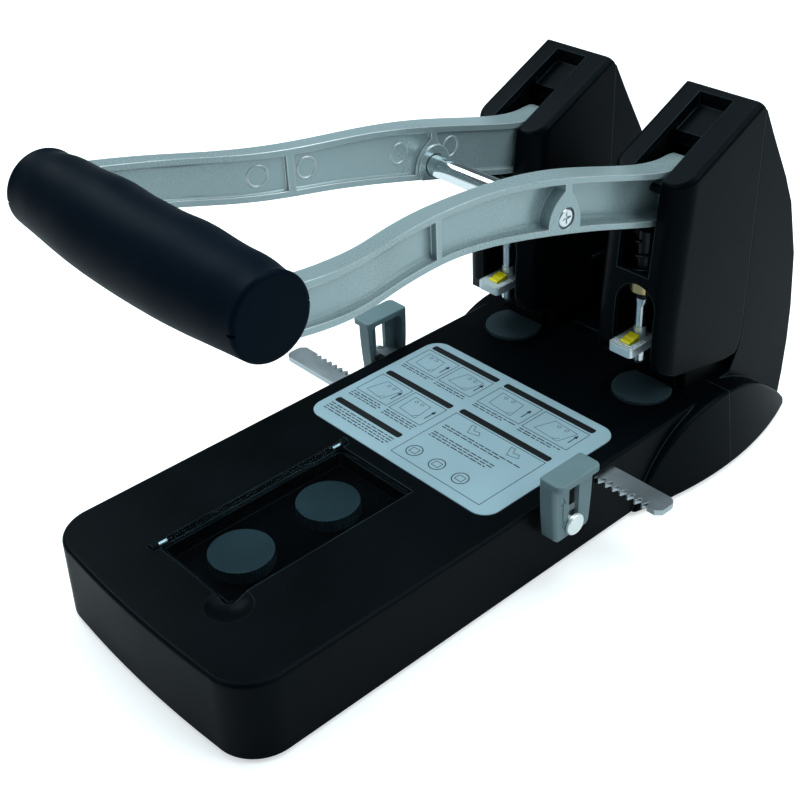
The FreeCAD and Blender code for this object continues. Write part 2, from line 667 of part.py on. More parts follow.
# ---------------------------------------------------------------- towers
COVER_TOP = [(-6.8, 144.2), (37.0, 164.8)]
COVER_SHOULDER = (41.2, 166.8)
BACK_PROFILE = [(TOWER_SEAM_Y, 162.6), (52.3, 148.8), (65.2, 126.2), (72.2, 111.6), (80.2, 83.0),
                (83.6, 54.0), (BACK_Y, 36.0), (83.5, 18.0), (82.0, 2.0)]
COVER_BOTTOM = [(43.9, 54.0), (42.2, 48.6), (40.5, 47.2), (33.0, 47.2), (18.2, 50.0), (-4.0, 55.2),
                (-10.5, 58.5), (TOWER_FRONT, 65.0)]
COVER_KNEE_Z = 80.0
COVER_FRONT_CORNER = 8.5
COVER_RIDGE_RADIUS = 3.0
ARM_SLOT = (-9.4, 7.6)
ARM_SLOT_BOTTOM = 101.5
ARM_SLOT_BACK = 38.2
ARCH_MIDDLE = 2.6
ARCH_HALF_WIDTH = 10.4
ARCH_TOP = 97.0
CHANNEL_FRONT = 24.0
CHANNEL_FRONT_LOW = 147.0
CHANNEL_DEPTH = 6.0
CHANNEL_WALL = 1.6
CLIP_Y, CLIP_Z, CLIP_LENGTH, CLIP_HEIGHT = 38.9, BASE_TOP + 31.4, 11.0, 2.4


def cover_outline(inset):
    front = TOWER_FRONT + inset
    rear = TOWER_SEAM_Y + (0.0 if inset == 0 else 10.0)
    low = 0.0 if inset == 0 else -40.0
    top = [(y + (inset if i == 0 else 0), z - inset * 1.1) for i, (y, z) in enumerate(COVER_TOP)]
    shoulder = (COVER_SHOULDER[0], COVER_SHOULDER[1] - inset)
    points = top + [shoulder, (rear, 162.6 - inset)]
    points += [(rear, 64.0 + low)]
    points += [(max(y, front), z + low) for y, z in COVER_BOTTOM]
    points += [(front, 80.0)]
    return points


def cover_footprint(x, inset, front, z):
    """Plan outline of a hood: rounded front corners, open towards the back."""
    half = TOWER_HALF_WIDTH - inset
    radius = COVER_FRONT_CORNER - inset
    bend = radius * (1 - math.sqrt(0.5))
    y = front + inset
    rear = TOWER_SEAM_Y + (0.0 if inset == 0 else 10.0)
    left = [V(x - half, y + radius, z), V(x - half + bend, y + bend, z), V(x - half + radius, y, z)]
    right = [V(x + half - radius, y, z), V(x + half - bend, y + bend, z), V(x + half, y + radius, z)]
    corners = [V(x + half, rear, z), V(x - half, rear, z)]
    return Part.Wire([Part.Arc(*left).toShape(), Part.LineSegment(left[2], right[0]).toShape(),
                      Part.Arc(*right).toShape(), Part.LineSegment(right[2], corners[0]).toShape(),
                      Part.LineSegment(*corners).toShape(),
                      Part.LineSegment(corners[1], left[0]).toShape()])


def cover_block(x, inset):
    """Hood volume: upright below the knee, leaning back above it, trimmed to the side profile."""
    lean = (COVER_TOP[0][0] - TOWER_FRONT) / (COVER_TOP[0][1] - COVER_KNEE_Z)
    top_z = 190.0
    top_front = TOWER_FRONT + lean * (top_z - COVER_KNEE_Z)
    low = Part.Face(cover_footprint(x, inset, TOWER_FRONT, 0.0)).extrude(V(0, 0, COVER_KNEE_Z))
    high = Part.makeLoft([cover_footprint(x, inset, TOWER_FRONT, COVER_KNEE_Z),
                          cover_footprint(x, inset, top_front, top_z)], True, True)
    profile = side_prism(cover_outline(inset), x - 30, x + 30)
    return low.common(profile).fuse(high.common(profile)).removeSplitter()


def tower_cover(x):
    """Hood over a tower. The arm's slot runs up its front and sloped top; the arch is for the holder."""
    outer = cover_block(x, 0.0)
    ridge = edges_where(outer, lambda b: b.XLength < 0.1 and b.YLength > 20 and b.ZMin > COVER_TOP[0][1])
    outer = outer.makeFillet(COVER_RIDGE_RADIUS, ridge)
    inner = cover_block(x, COVER_WALL)
    slot = box(x + ARM_SLOT[0], x + ARM_SLOT[1], -30, ARM_SLOT_BACK, ARM_SLOT_BOTTOM, 190)
    middle = x + ARCH_MIDDLE
    spring_line = ARCH_TOP - ARCH_HALF_WIDTH
    arch = fuse([box(middle - ARCH_HALF_WIDTH, middle + ARCH_HALF_WIDTH, -30, 0, 20, spring_line),
                 Part.makeCylinder(ARCH_HALF_WIDTH, 30, V(middle, -30, spring_line), V(0, 1, 0))])
    clip = clip_window(x, -1 if x > 0 else 1)
    hood = outer.cut(group([inner, slot, arch, clip]))
    return hood.fuse(slot_channel(x)).removeSplitter()


def slope_z(y):
    (y0, z0), (y1, z1) = COVER_TOP
    return z0 + (z1 - z0) * (y - y0) / (y1 - y0)


def slot_channel(x):
    """Sunk floor with side walls in the upper end of the slot, which hides the arm's hub."""
    wall = CHANNEL_WALL
    y0, y1 = CHANNEL_FRONT, ARM_SLOT_BACK
    floor0, floor1 = slope_z(y0) - CHANNEL_DEPTH, slope_z(y1) - CHANNEL_DEPTH
    seat = COVER_WALL / 2
    outer = side_prism([(y0, slope_z(y0) - seat), (y0, CHANNEL_FRONT_LOW), (y0 + wall, CHANNEL_FRONT_LOW),
                        (y0 + wall, floor0 - wall), (y1 + wall, floor1 - wall),
                        (y1 + wall, slope_z(y1) - seat)], x + ARM_SLOT[0] - wall, x + ARM_SLOT[1] + wall)
    inner = side_prism([(y0 - 1, floor0), (y0, floor0), (y1, floor1), (y1, slope_z(y1) + 5),
                        (y0 - 1, slope_z(y0) + 5)], x + ARM_SLOT[0], x + ARM_SLOT[1])
    return outer.cut(inner)


def clip_window(x, side):
    centre = x + side * TOWER_HALF_WIDTH
    return box(centre - 4, centre + 4, CLIP_Y - CLIP_LENGTH / 2 - 0.2, CLIP_Y + CLIP_LENGTH / 2 + 0.2,
               CLIP_Z - CLIP_HEIGHT / 2 - 0.2, CLIP_Z + CLIP_HEIGHT / 2 + 0.2)


def cover_clips():
    """Steel spring tongues on the frames that hold the hoods at their inner sides."""
    clips = []
    for s in (-1, 1):
        a = s * (TOWER_X - FRAME_HALF_WIDTH)
        b = s * (TOWER_X - TOWER_HALF_WIDTH - 0.3)
        clips.append(box(min(a, b), max(a, b), CLIP_Y - CLIP_LENGTH / 2, CLIP_Y + CLIP_LENGTH / 2,
                         CLIP_Z - CLIP_HEIGHT / 2, CLIP_Z + CLIP_HEIGHT / 2))
    return group(clips)


FRAME_THROAT = 12.0
STOP_Y = PUNCH_Y + 12.0
STOP_HEIGHT = 14.0
FRAME_FLOOR = FOOT_HEIGHT + BOTTOM_PLATE_THICKNESS
GUIDE_BLOCK_BOTTOM, GUIDE_BLOCK_TOP = 91.0, 96.0
BUSH_OUTER = 6.6
PLUNGER_RADIUS = 4.6
PLUNGER_Y = -2.5
PAD_Y, PAD_Z, PAD_RADIUS, PAD_THICKNESS = 13.5, 137.8, 11.0, 1.75


def frame_floor_top():
    return FRAME_FLOOR + 14.0


def frame_outline():
    under_board = BOARD_BOTTOM - 1.0
    return [(-15.0, FRAME_FLOOR), (FRAME_BACK, FRAME_FLOOR), (FRAME_BACK, 156.0), (34.0, 156.0),
            (3.0, 140.0), (0.5, 128.0), (-4.8, 84.0), (-4.8, 62.0), (FRAME_THROAT, 62.0),
            (FRAME_THROAT, under_board), (-15.0, under_board)]


def tower_frame(x):
    """Steel C-frame: two side plates joined by floor, guide block and rear web."""
    plates = []
    for a in (-FRAME_HALF_WIDTH, FRAME_INNER):
        lobe = crosswise(PAD_RADIUS, PAD_Y, PAD_Z, x + a, x + a + FRAME_PLATE)
        plates.append(side_prism(frame_outline(), x + a, x + a + FRAME_PLATE).fuse(lobe))
    inner = (x - FRAME_INNER, x + FRAME_INNER)
    floor = box(*inner, -15.0, FRAME_BACK, FRAME_FLOOR, frame_floor_top())
    web = box(*inner, FRAME_BACK - 3.0, FRAME_BACK, FRAME_FLOOR, PIVOT_Z - HUB_RADIUS - 4.0)
    tie = box(*inner, FRAME_BACK - 6.0, FRAME_BACK, 150.0, 156.0)
    block = box(*inner, -7.6, 16.0, GUIDE_BLOCK_BOTTOM, GUIDE_BLOCK_TOP)
    frame = fuse(plates + [floor, web, tie, block])
    holes = [upright(BUSH_OUTER, x, PLUNGER_Y, 60, 110),
             crosswise(PIVOT_RADIUS, PIVOT_Y, PIVOT_Z, x - 30, x + 30),
             box(x - 7, x + 7, 30, 60, 60.0, 80.0)]
    return frame.cut(group(holes))


def punch_bush(x):
    ring = upright(BUSH_OUTER, x, PLUNGER_Y, GUIDE_BLOCK_BOTTOM, GUIDE_BLOCK_TOP)
    return ring.cut(upright(PLUNGER_RADIUS + RUNNING_CLEARANCE, x, PLUNGER_Y, 60, 110))


def pivot_pin(x):
    """Pin through both frame plates, kept in place by the hood's side walls."""
    half = TOWER_HALF_WIDTH - COVER_WALL - PIVOT_END_CLEARANCE
    return crosswise(PIVOT_RADIUS, PIVOT_Y, PIVOT_Z, x - half, x + half)


def arm_side_pads():
    """Nylon discs on the insides of the frame plates, which keep each arm in the middle."""
    return group(crosswise(PAD_RADIUS, PAD_Y, PAD_Z, s * TOWER_X + a, s * TOWER_X + a + PAD_THICKNESS)
                 for s in (-1, 1) for a in (-FRAME_INNER, FRAME_INNER - PAD_THICKNESS))


def paper_stop():
    half = FRAME_INNER - 0.5
    stops = []
    for s in (-1, 1):
        x = s * TOWER_X
        low, high = BOARD_FACE + 0.4, BOARD_FACE + STOP_HEIGHT
        face = box(x - half, x + half, STOP_Y, STOP_Y + 1.4, low, high)
        foot = box(x - half, x + half, STOP_Y, FRAME_THROAT + 3, low, low + 1.4)
        top = box(x - half, x + half, STOP_Y, FRAME_THROAT + 3, high - 1.4, high)
        lugs = [box(x + a, x + a + 2.0, FRAME_THROAT, FRAME_THROAT + 3, low, high)
                for a in (-FRAME_INNER, FRAME_INNER - 2.0)]
        stops.append(fuse([face, foot, top] + lugs))
    return group(stops)


# ---------------------------------------------------------------- rear housing and chip drawer
BRIDGE_TOP = 84.0
HOUSING_WALL = 2.6
REAR_BOSSES = [(-18.0, 34.0), (18.0, 34.0)]
COLUMN_OUTER = TOWER_X + TOWER_HALF_WIDTH
COLUMN_INNER = TOWER_X - TOWER_HALF_WIDTH


def housing_outline(inset, column_front):
    back = [(y - inset, z) for y, z in BACK_PROFILE[1:]]
    crown = BACK_PROFILE[0][1] - 2 * inset
    floor = FOOT_HEIGHT if inset == 0 else FOOT_HEIGHT - 5
    back = [(TOWER_SEAM_Y + SEAM_GAP, crown)] + back[:-1] + [(back[-1][0], floor)]
    top = BASE_TOP if inset == 0 else BASE_TOP - TOP_THICKNESS
    start = SEAM_Y + SEAM_GAP if inset == 0 else SEAM_Y - 5
    outline = back + [(start, floor), (start, top), (38.0 + inset, top), (43.0 + inset, top + 9.6),
                      (44.4 + inset, top + 16.2), (column_front, 65.0)]
    return outline if inset == 0 else outline + [(column_front, crown)]


def rear_block(inset):
    half = COLUMN_OUTER - inset
    column_front = TOWER_SEAM_Y + (SEAM_GAP if inset == 0 else -20.0)
    return side_prism(housing_outline(inset, column_front), -half, half)


def rear_housing():
    """Rear cover of both towers with the bridge between them, the shoulders' backs and the drawer bay."""
    outer = rear_block(0.0)
    gap = box(-COLUMN_INNER, COLUMN_INNER, 0, 120, BRIDGE_TOP, 200)
    outer = outer.cut(gap)
    back_half = box(-100, 100, SEAM_Y + SEAM_GAP, 200, -10, 100)
    pods = [p.common(back_half) for p in both_sides(pod_outer())]
    pod_hollows = [p.common(back_half) for p in both_sides(pod(HOUSING_WALL))]
    outer = outer.fuse(pods)

    cavity = rear_block(HOUSING_WALL)
    wall = HOUSING_WALL
    bridge_roof = box(-COLUMN_INNER - wall, COLUMN_INNER + wall, 0, 120, BRIDGE_TOP - wall, 200)
    bridge_front = box(-COLUMN_INNER - wall, COLUMN_INNER + wall, 0, TOWER_SEAM_Y + SEAM_GAP + wall,
                       BASE_TOP - TOP_THICKNESS, 200)
    low_shelf = box(-100, 100, 0, TOWER_SEAM_Y + SEAM_GAP, BASE_TOP - TOP_THICKNESS, BASE_TOP + 30)
    towers = [box(s * TOWER_X - TOWER_HALF_WIDTH + wall, s * TOWER_X + TOWER_HALF_WIDTH - wall,
                  TOWER_SEAM_Y - 10, TOWER_SEAM_Y + 5, BASE_TOP + 8, BASE_TOP + 32) for s in (-1, 1)]
    cavity = cavity.cut(group([bridge_roof, bridge_front, low_shelf])).fuse(towers)
    shell = outer.cut(group([cavity] + pod_hollows))
    bosses = [upright(BOSS_RADIUS, x, y, FOOT_HEIGHT + BOTTOM_PLATE_THICKNESS, BASE_TOP - 1)
              for x, y in REAR_BOSSES]
    shell = shell.fuse(bosses)
    bay = box(-DRAWER_HALF_WIDTH - 0.5, DRAWER_HALF_WIDTH + 0.5, 60, 120,
              DRAWER_BOTTOM - 0.5, DRAWER_TOP + 0.5)
    holes = [tower_opening(s * TOWER_X) for s in (-1, 1)]
    holes += [upright(SCREW_RADIUS, x, y, 0, FOOT_HEIGHT + 12) for x, y in REAR_BOSSES]
    return shell.cut(group([bay] + holes)).removeSplitter()


def chip_drawer():
    """Tray that slides out of the back. Its end panel follows the housing's back."""
    x1 = DRAWER_HALF_WIDTH
    panel_front = BACK_Y - 4.2
    panel = rear_block(0.0).common(box(-x1, x1, panel_front, 200, DRAWER_BOTTOM, DRAWER_TOP))
    tray = box(-x1, x1, DRAWER_FRONT, panel_front + 0.5, DRAWER_BOTTOM, DRAWER_TOP - 2.0)
    inside = box(-x1 + 2, x1 - 2, DRAWER_FRONT + 2, panel_front - 0.5, DRAWER_BOTTOM + 2, 100)
    grip = Part.makeCylinder(9.0, 40, V(-20, BACK_Y + 6.0, 24.0), V(1, 0, 0))
    return tray.cut(inside).fuse(panel).cut(grip).removeSplitter()


def drawer_runner():
    """Two rails under the drawer, on the bottom plate."""
    z0 = FOOT_HEIGHT + BOTTOM_PLATE_THICKNESS
    return group(box(s * 30 - 3, s * 30 + 3, DRAWER_FRONT - 2, 77.0, z0, DRAWER_BOTTOM - 0.3)
                 for s in (-1, 1))


def chip_chute(x):
    """Duct that drops chips from behind the guide block into the drawer."""
    outer = side_prism([(FRAME_BACK, 86.0), (FRAME_BACK, 62.0), (56.0, 46.0), (56.0, 36.0), (74.0, 36.0),
                        (74.0, 62.0), (66.0, 86.0)], x - 10, x + 10)
    inner = side_prism([(FRAME_BACK + 1.5, 84.5), (FRAME_BACK + 1.5, 62.5), (57.5, 46.4), (57.5, 35.0),
                        (72.5, 35.0), (72.5, 61.8), (64.5, 84.5)], x - 8.5, x + 8.5)
    mouth = box(x - 7, x + 7, FRAME_BACK - 1, FRAME_BACK + 3, 62.0, 80)
    return outer.cut(group([inner, mouth]))


# ---------------------------------------------------------------- plunger, holder and punch
TIP_Z = BOARD_FACE + STROKE + TIP_CLEARANCE
HOLDER_BOTTOM = BASE_TOP + 26.2
HOLDER_TOP = BASE_TOP + 30.3
HOLDER_HALF_WIDTH = 6.3
HOLDER_FRONT, HOLDER_REAR = -18.0, 0.5
POST_TOP = BASE_TOP + 35.3
HOLDER_GAP = 0.15
NECK_TOP = 83.5
CONE_HEIGHT = 4.0
YOKE_THICKNESS = 4.0
HEAD_BOTTOM = 119.5
HEAD_TOP = 140.9
HEAD_FRONT, HEAD_REAR = -4.1, 5.6
CHEEK_INNER, CHEEK_OUTER = 7.2, 10.2
HALF_SWING = math.asin(STROKE / (2 * DRIVE_ARM * math.cos(DRIVE_MID_ANGLE)))
DRIVE_REST_ANGLE = HALF_SWING - DRIVE_MID_ANGLE
DRIVE_PIN_Z = PIVOT_Z + DRIVE_ARM * math.sin(DRIVE_REST_ANGLE)
DRIVE_PIN_Y = PIVOT_Y - DRIVE_ARM * math.cos(DRIVE_REST_ANGLE)
SLOT_PLAY = 0.12
BUTTON_HALF_WIDTH = 2.6
BUTTON_FRONT, BUTTON_REAR = -14.4, -7.4
BUTTON_TRAVEL = 1.5
EXIT_TOP = 109.0
SPRING_WIRE = 1.1
SPRING_TURNS = 2.75
SPRING_GAP = 0.3


def punch_shank(x):
    """Bright neck and cone between the holder's post and the plunger."""
    neck = upright(PUNCH_RADIUS, x, PUNCH_Y, POST_TOP + HOLDER_GAP, NECK_TOP)
    circles = [Part.Wire(Part.makeCircle(r, V(x, y, z))) for r, y, z in
               ((PUNCH_RADIUS, PUNCH_Y, NECK_TOP), (PLUNGER_RADIUS, PLUNGER_Y, NECK_TOP + CONE_HEIGHT))]
    return fuse([neck, Part.makeLoft(circles, True, True)]).cut(upright(PUNCH_BORE, x, PUNCH_Y, 60, 120))


def plunger(x):
    """Round body and forked head that straddles the arm and takes the drive pin in a slot."""
    body = upright(PLUNGER_RADIUS, x, PLUNGER_Y, NECK_TOP + CONE_HEIGHT, HEAD_BOTTOM)
    yoke = box(x - CHEEK_OUTER, x + CHEEK_OUTER, HEAD_FRONT, HEAD_REAR,
               HEAD_BOTTOM - YOKE_THICKNESS, HEAD_BOTTOM)
    cheeks = [box(x + a, x + a + CHEEK_OUTER - CHEEK_INNER, HEAD_FRONT, HEAD_REAR, HEAD_BOTTOM, HEAD_TOP)
              for a in (-CHEEK_OUTER, CHEEK_INNER)]
    slot_half = DRIVE_PIN_RADIUS + SLOT_PLAY
    low_angle = HALF_SWING + DRIVE_MID_ANGLE
    slot = box(x - 20, x + 20, PIVOT_Y - DRIVE_ARM - DRIVE_PIN_RADIUS - 0.2,
               PIVOT_Y - DRIVE_ARM * math.cos(low_angle) + DRIVE_PIN_RADIUS + 0.2,
               DRIVE_PIN_Z - slot_half, DRIVE_PIN_Z + slot_half)
    bore = upright(PUNCH_BORE, x, PUNCH_Y, 60, EXIT_TOP)
    exit_hole = Part.makeCylinder(PUNCH_BORE, 16, V(x, PUNCH_Y, EXIT_TOP - 3.0), V(0, 1, -0.35))
    return fuse([body, yoke] + cheeks).cut(group([slot, bore, exit_hole]))


def punch_holder(x):
    """Ribbed silver plate with a post up to the plunger and a window for the release button."""
    plate = rounded_plate(x - HOLDER_HALF_WIDTH, x + HOLDER_HALF_WIDTH, HOLDER_FRONT, HOLDER_REAR,
                          HOLDER_BOTTOM, HOLDER_TOP, 1.8)
    ribs = [box(x - 20, x + 20, HOLDER_FRONT + 1.0 + 1.5 * i, HOLDER_FRONT + 1.6 + 1.5 * i,
                HOLDER_TOP - 0.4, HOLDER_TOP + 1) for i in range(7)]
    post = upright(PUNCH_RADIUS, x, PUNCH_Y, HOLDER_TOP - 1, POST_TOP)
    window = box(x - BUTTON_HALF_WIDTH - 0.35, x + BUTTON_HALF_WIDTH + 0.35, BUTTON_FRONT - 0.35,
                 BUTTON_REAR + 0.35, HOLDER_BOTTOM + 1.2, HOLDER_TOP + 1)
    bore = upright(PUNCH_BORE, x, PUNCH_Y, 0, 200)
    return plate.cut(group(ribs)).fuse(post).cut(group([window, bore])).removeSplitter()


def release_button(x):
    low = HOLDER_BOTTOM + 1.2 + BUTTON_TRAVEL + 0.2
    y0, y1 = BUTTON_FRONT, BUTTON_REAR
    outline = [(y0, low), (y1, low), (y1, HOLDER_TOP + 2.0), (y1 - 3.2, HOLDER_TOP + 1.4),
               (y1 - 4.4, HOLDER_TOP + 0.9), (y0 + 0.6, HOLDER_TOP + 0.8), (y0, HOLDER_TOP + 0.3)]
    return side_prism(outline, x - BUTTON_HALF_WIDTH, x + BUTTON_HALF_WIDTH)


def hollow_punch(x):
    tube = upright(PUNCH_RADIUS, x, PUNCH_Y, TIP_Z, HOLDER_BOTTOM)
    edge = Part.makeCone(PUNCH_BORE + 0.05, PUNCH_RADIUS, 1.6, V(x, PUNCH_Y, TIP_Z))
    cap = upright(PUNCH_RADIUS + 1, x, PUNCH_Y, TIP_Z - 1, TIP_Z + 1.6)
    sharpened = tube.cut(cap.cut(edge))
    return sharpened.cut(upright(PUNCH_BORE, x, PUNCH_Y, 0, 200))


def return_spring(x):
    """Coil between the guide block and the plunger's yoke."""
    radius = SPRING_WIRE / 2
    coil_radius = PLUNGER_RADIUS + SPRING_GAP + radius
    z0 = GUIDE_BLOCK_TOP + radius + RUNNING_CLEARANCE
    height = HEAD_BOTTOM - YOKE_THICKNESS - radius - RUNNING_CLEARANCE - z0
    path = Part.makeHelix(height / SPRING_TURNS, height, coil_radius)
    profile = Part.Wire(Part.makeCircle(radius, V(coil_radius, 0, 0), V(0, 1, 0)))
    coil = Part.Wire(path).makePipeShell([profile], True, True)
    return shifted(coil, x, PLUNGER_Y, z0)


# ---------------------------------------------------------------- lever
ARM_TOP = [(-216.0, 186.5), (-200.0, 183.4), (-170.0, 178.4), (-140.0, 174.1), (-115.0, 171.4),
           (-90.0, 168.4), (-60.0, 162.4), (-30.0, 154.0), (-12.0, 148.8), (2.0, 145.8),
           (10.0, 145.3), (16.0, 145.4), (20.0, 144.2), (22.5, 141.4)]
ARM_BOTTOM = [(-216.0, 168.2), (-200.0, 164.7), (-170.0, 158.9), (-140.0, 154.3), (-115.0, 151.0),
              (-90.0, 146.1), (-60.0, 138.9), (-30.0, 130.4), (-12.0, 125.0), (2.0, 122.0),
              (14.0, 121.4), (22.5, 122.4)]
ARM_OUTER = [(-216.0, 65.4), (-200.0, 64.8), (-185.0, 62.5), (-170.0, 58.2), (-155.0, 52.7),
             (-140.0, 48.1), (-125.0, 44.8), (-110.0, 42.9), (-90.0, 42.0), (-60.0, 42.7),
             (-30.0, 44.0), (0.0, 45.8), (46.0, 46.4)]
ARM_INNER = [(-216.0, 57.4), (-200.0, 57.0), (-185.0, 54.6), (-170.0, 50.8), (-155.0, 45.2),
             (-140.0, 40.2), (-125.0, 37.0), (-110.0, 35.3), (-90.0, 33.8), (-60.0, 31.7),
             (-30.0, 31.9), (0.0, 33.6), (46.0, 33.8)]
HUB_RADIUS = 10.5
GRIP_HALF_PROFILE = [(0.0, 16.0, 18.8), (11.0, 16.1, 18.7), (22.0, 16.7, 18.4), (33.0, 16.3, 17.8),
                     (44.0, 15.9, 16.9), (55.0, 15.7, 15.9), (GRIP_HALF_LENGTH, 15.6, 14.9)]
GRIP_PROFILE = [(-x, u, w) for x, u, w in GRIP_HALF_PROFILE[:0:-1]] + GRIP_HALF_PROFILE
BOSS_FACE_RADIUS = 8.6
ROD_END_X = 32.2
ROD_POCKET = 1.2
ROD_POCKET_GAP = 0.5
ROD_SEAT_X = 41.0
ROD_THREAD = 2.6
ROD_HEAD_RADIUS = 3.9
ROD_HEAD_HEIGHT = 1.6
ROD_HEAD_GAP = 0.6
FILLET_PLACES = [-213.0, -200.0, -180.0, -160.0, -140.0, -120.0, -100.0, -80.0, -60.0, -40.0,
                 -20.0, -8.0, 5.0]
PEDESTAL_FRONT = [(-0.7, 12.0), (-2.4, 10.6), (-5.2, 8.6), (-7.6, 5.8), (-9.2, 2.0), (-9.6, -2.0)]
PEDESTAL_BACK = [(7.6, -3.0), (6.9, 1.8), (5.0, 6.2), (2.4, 10.4)]
ROOT_Y = 4.0
BUSH_X0, BUSH_X1 = 34.0, 45.9
DRIVE_PIN_HALF_LENGTH = 10.6
ROUND_MARKS = [(-140.5, 164.3), (-119.8, 162.3), (-74.7, 154.6), (-46.8, 149.1)]
MARK_RADIUS = 4.6
MARK_HEIGHT = 0.3
MARK_RIM = 0.7
EYE_RADIUS = 10.8
BUSH_WALL = 1.6
RIB_PLACES = [(-126.0, -129.0)]


def curve_points(pairs, place):
    return [place(a, b) for a, b in pairs]


def plan_band(inner, outer):
    """Upright prism between two plan curves."""
    near = curve_points(inner, lambda y, x: V(x, y, 0))
    far = curve_points(outer, lambda y, x: V(x, y, 0))
    wire = Part.Wire([spline(near), Part.LineSegment(near[-1], far[-1]).toShape(), spline(far),
                      Part.LineSegment(far[0], near[0]).toShape()])
    return Part.Face(wire).extrude(V(0, 0, 250))


def side_band(lower, upper):
    """Crosswise prism between two side curves."""
    low = curve_points(lower, lambda y, z: V(0, y, z))
    high = curve_points(upper, lambda y, z: V(0, y, z))
    wire = Part.Wire([spline(low), Part.LineSegment(low[-1], high[-1]).toShape(), spline(high),
                      Part.LineSegment(high[0], low[0]).toShape()])
    return Part.Face(wire).extrude(V(100, 0, 0))


def lowered(pairs, amount):
    return [(y, z - amount) for y, z in pairs]


def web_curves():
    near = [(y, x + WEB_RECESS) for y, x in ARM_INNER]
    return near, [(y, x + ARM_WEB) for y, x in near]


def lever_arm():
    """Right arm: I-section casting with an eye for the grip core and a hub for the pivot."""
    full = side_band(ARM_BOTTOM, ARM_TOP)
    flanges = [side_band(lowered(ARM_TOP, ARM_FLANGE), ARM_TOP),
               side_band(ARM_BOTTOM, lowered(ARM_BOTTOM, -ARM_FLANGE))]
    width = plan_band(ARM_INNER, ARM_OUTER)
    web = plan_band(*web_curves()).common(full)
    parts = [web] + [width.common(f) for f in flanges]
    parts += [width.common(full).common(box(0, 100, y1, y0, 0, 250)) for y0, y1 in RIB_PLACES]
    parts += [boss.common(full) for boss in (rod_boss(), width.common(rod_pedestal()))]
    parts.append(width.common(full).common(box(0, 100, ROOT_Y, ARM_TOP[-1][0], 0, 250)))
    parts += round_marks()
    root = side_prism([ARM_TOP[-1], (PIVOT_Y, PIVOT_Z + 6.0), (PIVOT_Y, PIVOT_Z - 8.0), ARM_BOTTOM[-1]],
                      20, 60)
    hub = crosswise(HUB_RADIUS, PIVOT_Y, PIVOT_Z, 20, 60)
    eye = crosswise(EYE_RADIUS, GRIP_Y, GRIP_Z, 20, 100)
    parts += [width.common(s) for s in (root, hub)]
    parts.append(eye.common(box(57.2, GRIP_HALF_LENGTH - 2.4, -300, 0, 0, 250)))
    parts += web_fillets()
    end_cut = box(0, 100, -260, GRIP_Y, 0, 250).cut(eye)
    cuts = [end_cut, crosswise(PIVOT_RADIUS + BUSH_WALL, PIVOT_Y, PIVOT_Z, 20, 60),
            crosswise(GRIP_CORE_RADIUS, GRIP_Y, GRIP_Z, 20, 100),
            crosswise(DRIVE_PIN_RADIUS, DRIVE_PIN_Y, DRIVE_PIN_Z, 20, 60),
            crosswise(ROD_THREAD, ROD_Y, ROD_Z, 20, 60),
            crosswise(ROD_HEAD_RADIUS + ROD_HEAD_GAP, ROD_Y, ROD_Z, ROD_SEAT_X, 60),
            crosswise(ROD_RADIUS + ROD_POCKET_GAP, ROD_Y, ROD_Z, 20, ROD_END_X)]
    arm = parts[0]
    for extra in parts[1:]:
        arm = arm.fuse(extra)
    for tool in cuts:
        arm = arm.cut(tool)
    return max(arm.Solids, key=lambda s: s.Volume)


def rod_boss():
    """Round boss with a shallow pocket for the cross rod's end."""
    return crosswise(BOSS_FACE_RADIUS, ROD_Y, ROD_Z, ROD_END_X - ROD_POCKET, ROD_SEAT_X)


def rod_pedestal():
    """Bell-shaped pad round the rod's screw: broad on the lower flange, a narrow neck at the upper one."""
    front = [V(20, ROD_Y + a, ROD_Z + b) for a, b in PEDESTAL_FRONT]
    back = [V(20, ROD_Y + a, ROD_Z + b) for a, b in PEDESTAL_BACK]
    low, high = V(0, 0, -40), V(0, 0, 40)
    corners = [front[-1], front[-1] + low, back[0] + low, back[0]]
    top = [back[-1], back[-1] + high, front[0] + high, front[0]]
    sides = [Part.LineSegment(p, q).toShape() for run in (corners, top) for p, q in zip(run, run[1:])]
    wire = Part.Wire([spline(front)] + sides[:3] + [spline(back)] + sides[3:])
    return Part.Face(wire).extrude(V(40, 0, 0))


def value_at(pairs, y):
    """Value of a smooth curve table at one place along the arm."""
    points = spline([V(a, b, 0) for a, b in pairs]).discretize(400)
    for p, q in zip(points, points[1:]):
        if p.x <= y <= q.x:
            return p.y + (q.y - p.y) * (y - p.x) / (q.x - p.x)
    return pairs[-1][1]


def web_face_x(y):
    """Inner face of the web at a place along the arm."""
    return value_at(ARM_INNER, y) + WEB_RECESS


def web_fillets():
    """Rounded corners between the web and both flanges, on both faces of the web."""
    buried = 0.5
    fillets = []
    for edge, into in ((lowered(ARM_TOP, ARM_FLANGE), -1), (lowered(ARM_BOTTOM, -ARM_FLANGE), 1)):
        for out, face, radius in ((1, ARM_WEB, ARM_FILLET), (-1, 0.0, ARM_INNER_FILLET)):
            sections = []
            for y in FILLET_PLACES:
                x, z = web_face_x(y) + face, value_at(edge, y)
                arc = [(radius * (1 - math.sin(t)), radius * (1 - math.cos(t)))
                       for t in (0.0, math.radians(30), math.radians(60), math.radians(90))]
                corners = [(-buried, -buried), (radius, -buried)] + arc + [(-buried, radius)]
                x, z = x - out * FILLET_SINK, z - into * FILLET_SINK
                sections.append(Part.makePolygon([V(x + out * u, y, z + into * v)
                                                  for u, v in corners + corners[:1]]))
            fillets.append(Part.makeLoft(sections, True, False))
    return fillets


